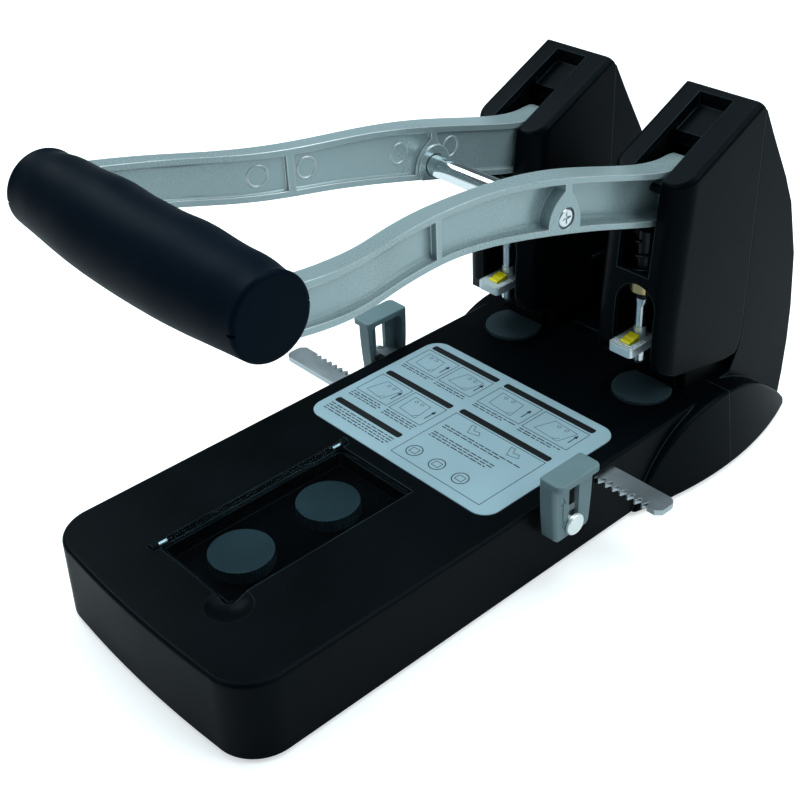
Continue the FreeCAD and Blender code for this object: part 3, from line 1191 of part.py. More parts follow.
def round_marks():
    """Thin raised rings that the mould's ejector pins leave on the web's inner face."""
    rings = []
    for y, z in ROUND_MARKS:
        ahead, behind = web_face_x(y - MARK_RADIUS), web_face_x(y + MARK_RADIUS)
        slope = (behind - ahead) / (2 * MARK_RADIUS)
        along = V(1, -slope, 0)
        start = V(web_face_x(y) - MARK_HEIGHT, y, z)
        ring = Part.makeCylinder(MARK_RADIUS, 1.5, start, along)
        rings.append(ring.cut(Part.makeCylinder(MARK_RADIUS - MARK_RIM, 1.5, start, along)))
    return rings


def arm_bush():
    ring = crosswise(PIVOT_RADIUS + BUSH_WALL, PIVOT_Y, PIVOT_Z, BUSH_X0, BUSH_X1)
    return ring.cut(crosswise(PIVOT_RADIUS + RUNNING_CLEARANCE, PIVOT_Y, PIVOT_Z, 20, 60))


def drive_pin():
    return crosswise(DRIVE_PIN_RADIUS, DRIVE_PIN_Y, DRIVE_PIN_Z, TOWER_X - DRIVE_PIN_HALF_LENGTH,
                     TOWER_X + DRIVE_PIN_HALF_LENGTH)


def cross_rod():
    """Chrome tube between the arms' bosses, tapped at both ends."""
    face = ROD_END_X
    rod = crosswise(ROD_RADIUS, ROD_Y, ROD_Z, -face, face)
    bores = [crosswise(ROD_THREAD, ROD_Y, ROD_Z, a, a + 14) for a in (-face - 1, face - 13)]
    return rod.cut(group(bores))


def rod_screws():
    x1 = ROD_SEAT_X
    shank = crosswise(ROD_THREAD, ROD_Y, ROD_Z, ROD_END_X - 11, x1)
    head = crosswise(ROD_HEAD_RADIUS, ROD_Y, ROD_Z, x1, x1 + ROD_HEAD_HEIGHT)
    head = head.makeFillet(ROD_HEAD_HEIGHT / 2, edges_where(head, lambda b: b.XMin > x1 + 1.5))
    cross = fuse([box(x1 + 0.6, x1 + 4, ROD_Y - 2.4, ROD_Y + 2.4, ROD_Z - 0.45, ROD_Z + 0.45),
                  box(x1 + 0.6, x1 + 4, ROD_Y - 0.45, ROD_Y + 0.45, ROD_Z - 2.4, ROD_Z + 2.4)])
    return group(both_sides(shank.fuse(head).cut(cross)))


def grip_core():
    return crosswise(GRIP_CORE_RADIUS, GRIP_Y, GRIP_Z, -GRIP_HALF_LENGTH + 2.4, GRIP_HALF_LENGTH - 2.4)


def grip_sleeve(arm, core):
    """Hand-shaped rubber grip moulded round the core and the arms' eyes, notched at its ends."""
    sections = []
    for x, upper, lower in GRIP_PROFILE:
        radius = (upper + lower) / 2
        shift = (upper - lower) / 2 * math.sqrt(0.5)
        centre = V(x, GRIP_Y + shift, GRIP_Z + shift)
        sections.append(Part.Wire(Part.makeCircle(radius, centre, V(1, 0, 0))))
    body = Part.makeLoft(sections, True, False)
    body = body.makeFillet(GRIP_END_ROUND, edges_where(body, lambda b: b.XLength < 1e-3))
    notches = [box(s * GRIP_HALF_LENGTH - 2.2, s * GRIP_HALF_LENGTH + 2.2, GRIP_Y + a, GRIP_Y + b,
                   GRIP_Z - 0.5, GRIP_Z + 0.5) for s in (-1, 1) for a, b in ((-20, -13.6), (13.6, 20))]
    return body.cut(group([core] + both_sides(arm) + notches))


# ---------------------------------------------------------------- build
def main():
    export("base_shell", base_shell())
    export("bottom_plate", bottom_plate())
    export("rubber_feet", rubber_feet())
    export("bottom_screws", bottom_screws())
    export("label_plate", label_plate())
    export("tray_lid", tray_lid())
    export("lid_hinge_pins", lid_hinge_pins())
    export("spare_boards", spare_boards())
    export("front_rack", front_rack())
    export("rear_rack", rear_rack())
    export("pinion", pinion())
    export("pinion_pin", pinion_pin())
    export("rack_cover", rack_cover())
    export("rack_cover_screws", rack_cover_screws())
    export("paper_guide_right", paper_guide(FRONT_RACK_REACH))
    export("paper_guide_left", turned_about_pinion(paper_guide(REAR_RACK_REACH)))
    export("guide_knob_right", guide_knob(FRONT_RACK_REACH))
    export("guide_knob_left", turned_about_pinion(guide_knob(REAR_RACK_REACH)))
    export("arm_side_pads", arm_side_pads())
    export("cover_clips", cover_clips())
    export("paper_stops", paper_stop())
    export("rear_housing", rear_housing())
    export("chip_drawer", chip_drawer())
    export("drawer_runners", drawer_runner())

    for side, x in (("left", -TOWER_X), ("right", TOWER_X)):
        export("punch_board_" + side, punch_board(x))
        export("die_pad_" + side, die_pad(x))
        export("tower_cover_" + side, tower_cover(x))
        export("tower_frame_" + side, tower_frame(x))
        export("punch_bush_" + side, punch_bush(x))
        export("pivot_pin_" + side, pivot_pin(x))
        export("chip_chute_" + side, chip_chute(x))
        export("plunger_" + side, plunger(x))
        export("punch_shank_" + side, punch_shank(x))
        export("punch_holder_" + side, punch_holder(x))
        export("release_button_" + side, release_button(x))
        export("hollow_punch_" + side, hollow_punch(x))
        export("return_spring_" + side, return_spring(x))

    arm = lever_arm()
    core = grip_core()
    export("lever_arm_right", arm)
    export("lever_arm_left", mirrored(arm))
    export("arm_bushes", group(both_sides(arm_bush())))
    export("drive_pins", group(both_sides(drive_pin())))
    export("cross_rod", cross_rod())
    export("rod_screws", rod_screws())
    export("grip_core", core)
    export("grip_sleeve", grip_sleeve(arm, core))


main()
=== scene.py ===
"""Looks for the two-hole lever punch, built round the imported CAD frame."""
import math
import random

import bmesh
import bpy
from mathutils import Matrix, Vector


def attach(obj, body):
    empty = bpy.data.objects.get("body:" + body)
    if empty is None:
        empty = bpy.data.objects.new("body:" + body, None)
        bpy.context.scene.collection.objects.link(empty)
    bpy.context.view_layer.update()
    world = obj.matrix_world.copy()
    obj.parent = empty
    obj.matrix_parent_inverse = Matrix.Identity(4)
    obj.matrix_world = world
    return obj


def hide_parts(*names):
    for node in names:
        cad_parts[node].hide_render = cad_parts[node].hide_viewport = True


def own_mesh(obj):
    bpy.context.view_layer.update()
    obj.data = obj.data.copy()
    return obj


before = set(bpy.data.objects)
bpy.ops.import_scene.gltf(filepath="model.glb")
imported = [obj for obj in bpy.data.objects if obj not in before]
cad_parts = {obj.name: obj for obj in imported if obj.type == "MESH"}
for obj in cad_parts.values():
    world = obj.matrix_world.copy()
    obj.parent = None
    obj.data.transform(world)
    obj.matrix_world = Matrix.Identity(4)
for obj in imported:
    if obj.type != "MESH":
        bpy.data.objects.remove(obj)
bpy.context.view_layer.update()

MM = 0.001


def linked(name, data):
    """A new object that holds this data, linked to the scene."""
    piece = bpy.data.objects.new(name, data)
    bpy.context.scene.collection.objects.link(piece)
    return piece


# ---------------------------------------------------------------- camera
PHOTO_WIDTH = 800
FOCAL_PIXELS = 1335.69
SENSOR_WIDTH = 36.0
CAMERA_AZIMUTH = math.radians(49.311)
CAMERA_ELEVATION = math.radians(33.972)
CAMERA_ROLL = math.radians(-2.911)
CAMERA_TARGET = Vector((-31.72, -83.01, 38.0)) * MM
CAMERA_DISTANCE = 605.98 * MM
CLIP_START = 0.02
CLIP_END = 50


def outward(azimuth, elevation):
    """The direction from the object to a place at this azimuth and elevation, in radians."""
    flat = math.cos(elevation)
    return Vector((math.sin(azimuth) * flat, -math.cos(azimuth) * flat, math.sin(elevation)))


def make_camera():
    """The camera that looks at the object from the photograph's side."""
    data = bpy.data.cameras.new("camera")
    camera = linked("camera", data)
    back = outward(CAMERA_AZIMUTH, CAMERA_ELEVATION)
    right = Vector((0, 0, 1)).cross(back).normalized()
    up = back.cross(right)
    rolled_right = math.cos(CAMERA_ROLL) * right + math.sin(CAMERA_ROLL) * up
    rolled_up = math.cos(CAMERA_ROLL) * up - math.sin(CAMERA_ROLL) * right
    turn = Matrix((rolled_right, rolled_up, back)).transposed().to_4x4()
    turn.translation = CAMERA_TARGET + back * CAMERA_DISTANCE
    camera.matrix_world = turn
    data.sensor_width = SENSOR_WIDTH
    data.lens = FOCAL_PIXELS * SENSOR_WIDTH / PHOTO_WIDTH
    data.clip_start = CLIP_START
    data.clip_end = CLIP_END
    bpy.context.scene.camera = camera


# ---------------------------------------------------------------- node helpers
# The Mix node has sockets for every kind of data; these are the ones of the kinds used here.
MIX_SHARE = 0
MIX_FLOAT_A, MIX_FLOAT_B = 2, 3
MIX_COLOUR_A, MIX_COLOUR_B = 6, 7
MIX_COLOUR_OUT = 2


class Tree:
    """Shorthand for writing node trees."""

    def __init__(self, owner):
        owner.use_nodes = True
        self.nodes = owner.node_tree.nodes
        self.links = owner.node_tree.links
        self.nodes.clear()

    def add(self, kind, inputs=None, **values):
        """A node with these properties; an input is a value or another node's output."""
        node = self.nodes.new("ShaderNode" + kind)
        for key, value in values.items():
            setattr(node, key, value)
        for key, value in (inputs or {}).items():
            if isinstance(value, bpy.types.NodeSocket):
                self.links.new(value, node.inputs[key])
            else:
                node.inputs[key].default_value = value
        return node

    def surface(self, kind, result):
        """The tree's output node, fed by this result."""
        self.add(kind, {"Surface": result})

    def maths(self, operation, a, b=0.0, clamp=False):
        node = self.add("Math", {0: a, 1: b}, operation=operation, use_clamp=clamp)
        return node.outputs[0]

    def weigh(self, a, share, b):
        """This share of a with the rest of b."""
        return self.maths("ADD", self.maths("MULTIPLY", a, share),
                          self.maths("MULTIPLY", b, 1 - share))

    def noise(self, where, scale, detail=2.0, rough=0.5):
        node = self.add("TexNoise", {"Vector": where, "Scale": scale, "Detail": detail,
                                     "Roughness": rough})
        return node.outputs["Fac"]

    def spread(self, value, low, high, to_low, to_high, smooth=False):
        """The value with low..high stretched to to_low..to_high and held beyond them."""
        kind = "SMOOTHSTEP" if smooth else "LINEAR"
        node = self.add("MapRange", {"Value": value, "From Min": low, "From Max": high,
                                     "To Min": to_low, "To Max": to_high}, interpolation_type=kind)
        return node.outputs["Result"]

    def mix(self, share, a, b):
        """From colour a to colour b by this share."""
        node = self.add("Mix", data_type="RGBA")
        for key, value in ((MIX_SHARE, share), (MIX_COLOUR_A, a), (MIX_COLOUR_B, b)):
            if isinstance(value, bpy.types.NodeSocket):
                self.links.new(value, node.inputs[key])
            else:
                node.inputs[key].default_value = value
        return node.outputs[MIX_COLOUR_OUT]


def rgba(colour):
    return (*colour, 1.0)


def scaled(colour, factor):
    return tuple(min(1.0, channel * factor) for channel in colour)


SHADER_SOCKETS = {"specular": "Specular IOR Level", "tint": "Specular Tint",
                  "metallic": "Metallic", "ior": "IOR", "transmission": "Transmission Weight"}


def sockets_set(shader, **values):
    """Sets values that are the same all over a surface on the shader's own sockets."""
    for key, value in values.items():
        shader.inputs[SHADER_SOCKETS[key]].default_value = rgba(value) if key == "tint" else value


# ---------------------------------------------------------------- materials
WHITE = (1.0, 1.0, 1.0)
COOL = (0.72, 0.9, 1.0)
BLACK = (0.0008, 0.0016, 0.0024)

# Noise stays near its middle, so this part of it is stretched to the whole range.
NOISE_LOW, NOISE_HIGH = 0.35, 0.65
BRUSHED_SCALE = 0.03        # the noise's scale along the brushing, as a share of that across it
GRAIN_DETAIL, GRAIN_ROUGH = 3.0, 0.6
SMUDGE_DETAIL, SMUDGE_ROUGH = 3.0, 0.55
SMUDGE_SPAN = 3             # noise cells are this many times the smudge's size
GRAIN_IN_TONE = 0.5
GRAIN_IN_ROUGHNESS = 0.35
BEVEL_SAMPLES = 6
EDGE_START, EDGE_FULL = 0.995, 0.86     # cosines between the softened and the true normal
WEAR_AND_HIGHLIGHT_LOW, WEAR_AND_HIGHLIGHT_HIGH = 0.38, 0.62        # smudge noise between which the edge wear and the painted edge highlight come up
WEAR_AND_HIGHLIGHT_LEAST = 0.4


def finish_material(name, colour, rough, grain, depth, mottle, edge, edge_colour=None,
                    edge_share=0.0, streaks=None, smudge=9.0, **shader_values):
    """A moulded, painted or machined finish.

    colour is the base; rough the range of roughness; grain the size of the surface grain in
    millimetres and depth its height; mottle the spread of the colour; edge the radius in
    millimetres of the softened edges, the edge colour argument the colour painted on them, which
    stands both for wear from handling and for a painted highlight where the rounded edges catch
    the light, and edge_share the most of it; streaks an axis (x, y or z) along which the grain is
    drawn out, as brushing leaves it; smudge the size in millimetres of the broad variation.
    """
    material = bpy.data.materials.new(name)
    tree = Tree(material)
    place = tree.add("TexCoord").outputs["Object"]
    place_grain = place
    if streaks:
        stretch = [BRUSHED_SCALE if axis == streaks else 1.0 for axis in "xyz"]
        place_grain = tree.add("Mapping", {"Vector": place, "Scale": stretch}).outputs[0]
    fine = tree.noise(place_grain, 1 / (grain * MM), GRAIN_DETAIL, GRAIN_ROUGH)
    broad = tree.noise(place, 1 / MM / smudge / SMUDGE_SPAN, SMUDGE_DETAIL, SMUDGE_ROUGH)
    tone = tree.spread(tree.weigh(fine, GRAIN_IN_TONE, broad), NOISE_LOW, NOISE_HIGH, 0.0, 1.0)
    body = tree.mix(tone, rgba(scaled(colour, 1 - mottle)), rgba(scaled(colour, 1 + mottle)))
    rounded = tree.add("Bevel", {"Radius": edge * MM}, samples=BEVEL_SAMPLES).outputs["Normal"]
    # Painted highlight and wear: the edge colour is laid on in patches where the softened normal
    # turns from the true one, that is along rounded edges.
    if edge_colour:
        facing = tree.add("NewGeometry").outputs["Normal"]
        match = tree.add("VectorMath", {0: rounded, 1: facing}, operation="DOT_PRODUCT")
        worn_and_highlit = tree.spread(match.outputs["Value"], EDGE_START, EDGE_FULL, 0.0, edge_share)
        patchy = tree.spread(broad, WEAR_AND_HIGHLIGHT_LOW, WEAR_AND_HIGHLIGHT_HIGH, WEAR_AND_HIGHLIGHT_LEAST, 1.0)
        body = tree.mix(tree.maths("MULTIPLY", worn_and_highlit, patchy), body, rgba(edge_colour))
    roughness = tree.spread(tree.weigh(fine, GRAIN_IN_ROUGHNESS, broad), NOISE_LOW, NOISE_HIGH,
                            *rough)
    bump = tree.add("Bump", {"Height": fine, "Distance": depth * MM, "Normal": rounded})
    shader = tree.add("BsdfPrincipled", {"Base Color": body, "Roughness": roughness,
                                         "Normal": bump.outputs["Normal"]})
    sockets_set(shader, **shader_values)
    tree.surface("OutputMaterial", shader.outputs[0])
    return material


SCUFF_STRETCH = (1.0, 0.12, 1.0)
SCUFF_TURN = (0, 0, 0.5)
SCUFF_SCALE, SCUFF_DETAIL, SCUFF_ROUGH = 900, 4.0, 0.7
SCUFF_START, SCUFF_FULL = 0.62, 0.75
SCUFF_ROUGHNESS = 0.12
HAZE_SCALE = 60
HAZE_LOW, HAZE_HIGH = 0.3, 0.7
HAZE_ROUGHNESS = (0.015, 0.05)
HAZE_SHADES = (0.94, 1.05)
CLEAR_EDGE, CLEAR_SAMPLES = 0.25, 4


def clear_material(name, colour):
    """Smoked clear plastic: tinted, with a few fine scuffs in its gloss."""
    material = bpy.data.materials.new(name)
    tree = Tree(material)
    place = tree.add("TexCoord").outputs["Object"]
    drawn_out = tree.add("Mapping", {"Vector": place, "Scale": SCUFF_STRETCH,
                                     "Rotation": SCUFF_TURN}).outputs[0]
    scuffs = tree.noise(drawn_out, SCUFF_SCALE, SCUFF_DETAIL, SCUFF_ROUGH)
    haze = tree.noise(place, HAZE_SCALE)
    rough = tree.maths("ADD", tree.spread(scuffs, SCUFF_START, SCUFF_FULL, 0.0, SCUFF_ROUGHNESS),
                       tree.spread(haze, HAZE_LOW, HAZE_HIGH, *HAZE_ROUGHNESS))
    darker, lighter = (rgba(scaled(colour, shade)) for shade in HAZE_SHADES)
    tint = tree.mix(tree.spread(haze, NOISE_LOW, NOISE_HIGH, 0.0, 1.0), darker, lighter)
    rounded = tree.add("Bevel", {"Radius": CLEAR_EDGE * MM}, samples=CLEAR_SAMPLES)
    shader = tree.add("BsdfPrincipled", {"Base Color": tint, "Roughness": rough,
                                         "Normal": rounded.outputs["Normal"]})
    sockets_set(shader, transmission=1.0, ior=1.08, specular=0.15)
    tree.surface("OutputMaterial", shader.outputs[0])
    return material


# One look for each material slot of the record but clear_lid, and one for the label's print. In
# each look the edge colour paints both wear and a highlight along the rounded edges.
LOOKS = {
    # The lighter edge colour paints highlights on the housing's rounded crests and edges, as well
    # as wear.
    "black_housing": dict(colour=BLACK, rough=(0.3, 0.42), grain=0.42, depth=0.02, mottle=0.35,
                          edge=0.7, edge_colour=(0.05, 0.08, 0.095), edge_share=0.8, smudge=14,
                          specular=0.04, tint=COOL),
    "black_inner": dict(colour=(0.0012, 0.0014, 0.0018), rough=(0.45, 0.6), grain=0.5, depth=0.02,
                        mottle=0.25, edge=0.3, specular=0.06, tint=COOL),
    "feet_rubber": dict(colour=(0.012, 0.012, 0.013), rough=(0.65, 0.8), grain=0.25, depth=0.03,
                        mottle=0.3, edge=0.4, specular=0.3),
    "screw_steel": dict(colour=(0.66, 0.69, 0.71), rough=(0.18, 0.3), grain=0.15, depth=0.004,
                        mottle=0.06, edge=0.15, edge_colour=(0.85, 0.87, 0.88), edge_share=0.6,
                        metallic=1.0),
    "label": dict(colour=(0.31, 0.44, 0.5), rough=(0.34, 0.42), grain=0.12, depth=0.003,
                  mottle=0.03, edge=0.1, metallic=0.25, specular=0.5),
    "label_ink": dict(colour=(0.003, 0.004, 0.005), rough=(0.4, 0.5), grain=0.2, depth=0.002,
                      mottle=0.3, edge=0.05, specular=0.2),
    # The lighter edge colour paints the bright highlight on the boards' rims, as well as wear.
    "board_plastic": dict(colour=(0.026, 0.045, 0.054), rough=(0.42, 0.55), grain=0.3,
                          depth=0.012, mottle=0.12, edge=0.25, edge_colour=(0.12, 0.16, 0.18),
                          edge_share=0.5, specular=0.2),
    "frame_steel": dict(colour=(0.002, 0.0024, 0.003), rough=(0.4, 0.55), grain=0.6, depth=0.02,
                        mottle=0.3, edge=0.3, edge_colour=(0.05, 0.055, 0.06), edge_share=0.25,
                        specular=0.1),
    "rack_steel": dict(colour=(0.42, 0.47, 0.5), rough=(0.28, 0.42), grain=0.16, depth=0.006,
                       mottle=0.1, edge=0.2, edge_colour=(0.8, 0.84, 0.86), edge_share=0.6,
                       streaks="x", metallic=1.0),
    "pinion_plastic": dict(colour=(0.66, 0.65, 0.6), rough=(0.4, 0.5), grain=0.4, depth=0.01,
                           mottle=0.05, edge=0.2, specular=0.5),
    "guide_plastic": dict(colour=(0.12, 0.185, 0.2), rough=(0.38, 0.5), grain=0.25, depth=0.012,
                          mottle=0.1, edge=0.4, edge_colour=(0.34, 0.44, 0.47), edge_share=0.5,
                          specular=0.4),
    "knob_steel": dict(colour=(0.9, 0.94, 0.92), rough=(0.3, 0.42), grain=0.12, depth=0.004,
                       mottle=0.06, edge=0.2, edge_colour=(0.97, 0.99, 0.98), edge_share=0.5,
                       metallic=0.6),
    "mechanism_steel": dict(colour=(0.016, 0.018, 0.02), rough=(0.25, 0.4), grain=0.2,
                            depth=0.006, mottle=0.2, edge=0.2, edge_colour=(0.1, 0.11, 0.12),
                            edge_share=0.4, metallic=1.0),
    "bush_brass": dict(colour=(0.55, 0.40, 0.20), rough=(0.3, 0.45), grain=0.2, depth=0.01,
                       mottle=0.15, edge=0.2, edge_colour=(0.75, 0.6, 0.35), edge_share=0.4,
                       metallic=1.0),
    "holder_metal": dict(colour=(0.72, 0.8, 0.82), rough=(0.3, 0.42), grain=0.2, depth=0.008,
                         mottle=0.08, edge=0.3, edge_colour=(0.8, 0.85, 0.87), edge_share=0.5,
                         metallic=0.7),
    "punch_steel": dict(colour=(0.6, 0.64, 0.67), rough=(0.16, 0.28), grain=0.12, depth=0.004,
                        mottle=0.08, edge=0.2, edge_colour=(0.85, 0.88, 0.9), edge_share=0.5,
                        streaks="z", metallic=1.0),
    "release_yellow": dict(colour=(0.93, 0.78, 0.004), rough=(0.3, 0.4), grain=0.25, depth=0.008,
                           mottle=0.04, edge=0.35, edge_colour=(1.0, 0.9, 0.12), edge_share=0.4,
                           specular=0.5),
    # The white edge colour at full share paints highlights along the rounded edges of the arms.
    "arm_aluminium": dict(colour=(0.29, 0.375, 0.39), rough=(0.24, 0.34), grain=0.35, depth=0.004,
                          mottle=0.05, edge=0.7, edge_colour=WHITE, edge_share=1.0, metallic=0.4,
                          specular=0.5, smudge=30),
    "rod_chrome": dict(colour=(0.74, 0.79, 0.81), rough=(0.08, 0.16), grain=0.2, depth=0.002,
                       mottle=0.04, edge=0.2, metallic=1.0, streaks="x"),
    "grip_rubber": dict(colour=(0.0004, 0.003, 0.0075), rough=(0.42, 0.55), grain=0.3, depth=0.03,
                        mottle=0.3, edge=0.6, specular=0.035, tint=COOL, smudge=25),
}
SMOKED = (0.6, 0.7, 0.74)

finishes = {name: finish_material(name, **look) for name, look in LOOKS.items()}
finishes["clear_lid"] = clear_material("clear_lid", SMOKED)


def repaint_nodes():
    """Gives every carried-over CAD node the finished material of its slot."""
    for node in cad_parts.values():
        for slot in node.material_slots:
            slot.material = finishes[slot.material.name.split(".")[0]]


# ---------------------------------------------------------------- print on the label
# Places are in millimetres of the frame: x across the machine, y from its front to its back,
# and LABEL_FACE the height of the label's top.
LABEL_FACE = 38.5
PRINT_THICKNESS = 0.03
PRINT_SINK = 0.01
FRAME_LINE = 0.3
ARC_STEP = 15               # degrees between the points of a corner or ring

RULE_HEIGHT = 0.55
RULE_GAP = 0.7
RULE_LENGTHS = (1.2, 4.2)
RULE_SHORTEST = 1.0
LAST_ROW_CUT = 0.25         # most of its length that a block's last row may lack


class Print:
    """Flat printed shapes gathered into one thin mesh."""

    def __init__(self):
        self.mesh = bmesh.new()

    def shape(self, outline):
        """A closed plate with this plan outline, counter-clockwise."""
        z0, z1 = (LABEL_FACE - PRINT_SINK) * MM, (LABEL_FACE + PRINT_THICKNESS) * MM
        low = [self.mesh.verts.new((x * MM, y * MM, z0)) for x, y in outline]
        high = [self.mesh.verts.new((x * MM, y * MM, z1)) for x, y in outline]
        self.mesh.faces.new(high)
        self.mesh.faces.new(low[::-1])
        for i in range(len(outline)):
            j = (i + 1) % len(outline)
            self.mesh.faces.new((low[i], low[j], high[j], high[i]))

    def bar(self, x0, x1, y0, y1, corner=0.0):
        """A filled rectangle, with round corners if they have a radius."""
        if corner <= 0:
            self.shape([(x0, y0), (x1, y0), (x1, y1), (x0, y1)])
            return
        outline = []
        for cx, cy, start in ((x1 - corner, y0 + corner, -90), (x1 - corner, y1 - corner, 0),
                              (x0 + corner, y1 - corner, 90), (x0 + corner, y0 + corner, 180)):
            for angle in range(start, start + 91, ARC_STEP):
                t = math.radians(angle)
                outline.append((cx + corner * math.cos(t), cy + corner * math.sin(t)))
        self.shape(outline)

    def line(self, a, b, width):
        (ax, ay), (bx, by) = a, b
        length = math.hypot(bx - ax, by - ay)
        nx, ny = -(by - ay) / length * width / 2, (bx - ax) / length * width / 2
        self.shape([(ax - nx, ay - ny), (bx - nx, by - ny), (bx + nx, by + ny), (ax + nx, ay + ny)])

    def path(self, points, width):
        for a, b in zip(points, points[1:]):
            self.line(a, b, width)

    def frame(self, x0, x1, y0, y1):
        w = FRAME_LINE
        self.bar(x0, x1, y0, y0 + w)
        self.bar(x0, x1, y1 - w, y1)
        self.bar(x0, x0 + w, y0 + w, y1 - w)
        self.bar(x1 - w, x1, y0 + w, y1 - w)

    def ring(self, x, y, radius, width):
        points = [(x + radius * math.cos(math.radians(t)), y + radius * math.sin(math.radians(t)))
                  for t in range(0, 361, ARC_STEP)]
        self.path(points, width)

    def rules(self, x0, x1, y, rows, pitch, dice):
        """Rows of short plain dashes of uneven length; the last row may end early."""
        for row in range(rows):
            x = x0
            end = x1 - dice.uniform(0.0, LAST_ROW_CUT) * (x1 - x0) * (row == rows - 1)
            while x < end - RULE_SHORTEST:
                step = min(dice.uniform(*RULE_LENGTHS), end - x)
                self.bar(x, x + step, y - row * pitch, y - row * pitch + RULE_HEIGHT)
                x += step + RULE_GAP

    def finish(self, name, material):
        """Closes the print and returns it as an object."""
        data = bpy.data.meshes.new(name)
        self.mesh.to_mesh(data)
        self.mesh.free()
        data.materials.append(material)
        return linked(name, data)


# A picture of a sheet, as shares of its frame's width and height.
SHEET_LOW_LEFT, SHEET_LOW_RIGHT = (0.18, 0.2), (0.72, 0.14)
SHEET_HIGH_RIGHT, SHEET_HIGH_LEFT = (0.72, 0.78), (0.2, 0.84)
SHEET_LEAN, SHEET_LEAN_TURNED = -0.05, 0.12
FOLD_START, FOLD_END = (-0.12, 0.01), (-0.02, 0.16)     # from the sheet's low right corner
HOLE_PLACES = (0.3, 0.62)   # along the sheet's upper edge
HOLE_DROP = 0.14
ARROW_FOOT = (0.88, 0.3)
ARROW_SHAFT, ARROW_HEIGHT = 0.3, 0.45
# Its lines and small shapes, in millimetres.
SHEET_LINE = 0.22
HOLE_RADIUS = 0.8
ARROW_LINE = 0.5
ARROW_HALF_HEAD = 1.0


def sheet_picture(ink, x0, x1, y0, y1, turned):
    """Generic line drawing: a sheet with two holes, a corner fold and an arrow."""
    ink.frame(x0, x1, y0, y1)
    w, h = x1 - x0, y1 - y0
    lean = (SHEET_LEAN_TURNED if turned else SHEET_LEAN) * w
    a, b = ((x0 + x * w, y0 + y * h) for x, y in (SHEET_LOW_LEFT, SHEET_LOW_RIGHT))
    c, d = ((x0 + x * w + lean, y0 + y * h) for x, y in (SHEET_HIGH_RIGHT, SHEET_HIGH_LEFT))
    ink.path([a, b, c, d, a], SHEET_LINE)
    ink.path([(b[0] + x * w, b[1] + y * h) for x, y in (FOLD_START, FOLD_END)], SHEET_LINE)
    for share in HOLE_PLACES:
        ink.ring(d[0] + (c[0] - d[0]) * share, d[1] - HOLE_DROP * h, HOLE_RADIUS, SHEET_LINE)
    ax, ay = x0 + ARROW_FOOT[0] * w, y0 + ARROW_FOOT[1] * h
    neck, tip = ay + ARROW_SHAFT * h, ay + ARROW_HEIGHT * h
    ink.line((ax, ay), (ax, neck), ARROW_LINE)
    ink.shape([(ax - ARROW_HALF_HEAD, neck), (ax + ARROW_HALF_HEAD, neck), (ax, tip)])


LABEL_SEED = 11
LEFT_COLUMN = (-53.0, -10.0)
RIGHT_COLUMN = (-5.6, 48.0)
LEFT_HEADER_TOPS = (-39.8, -69.6, -100.6)
RIGHT_HEADER_TOPS = (-39.8, -68.2)
HEADER_HEIGHT = 3.5
HEADER_CORNER = 1.2
UPPER_PICTURES = (-60.0, -44.4)
LOWER_PICTURES = (-91.0, -74.2)
PICTURE_MARGIN = 0.8        # to the line between the two pictures of a pair
CAPTION_MARGIN = 0.4
CAPTION_DROP = 1.9
CAPTION_PITCH = 1.5
TEXT_PITCH = 1.6
LEFT_TEXT_Y, LEFT_TEXT_ROWS, LEFT_TEXT_MARGIN = -106.2, 4, 0.6
NOTES_BOX = (-112.4, -72.6)
NOTES_TEXTS = ((-83.0, 2, 5.0), (-89.6, 3, 14.0))         # y, rows and margin on the right
NOTES_TEXT_MARGIN = 3.0
TAB_PLACES = (0.22, 0.66)   # across the box
TAB_OUTLINE = ((0.0, -74.6), (2.4, -80.0), (8.0, -78.6), (6.6, -76.4), (3.6, -77.2),
               (2.2, -74.2), (0.0, -74.6))
TAB_LINE = 0.25
RINGS = 3
RING_X, RING_Y, RING_PITCH = 7.5, -105.2, 14.0
RING_RADIUS, RING_LINE = 3.7, 0.45
SQUARE_X, SQUARE_Y = (5.6, 9.4), (-106.8, -103.6)
SQUARE_LINE = 0.3


def picture_pair(ink, column, heights, turned, caption_rows, dice):
    """Two framed drawings side by side, one of them turned, with rows of dashes under each."""
    x0, x1 = column
    y0, y1 = heights
    middle = (x0 + x1) / 2
    halves = ((x0, middle - PICTURE_MARGIN), (middle + PICTURE_MARGIN, x1))
    for index, (a, b) in enumerate(halves):
        sheet_picture(ink, a, b, y0, y1, index == turned)
        ink.rules(a + CAPTION_MARGIN, b - CAPTION_MARGIN, y0 - CAPTION_DROP, caption_rows,
                  CAPTION_PITCH, dice)


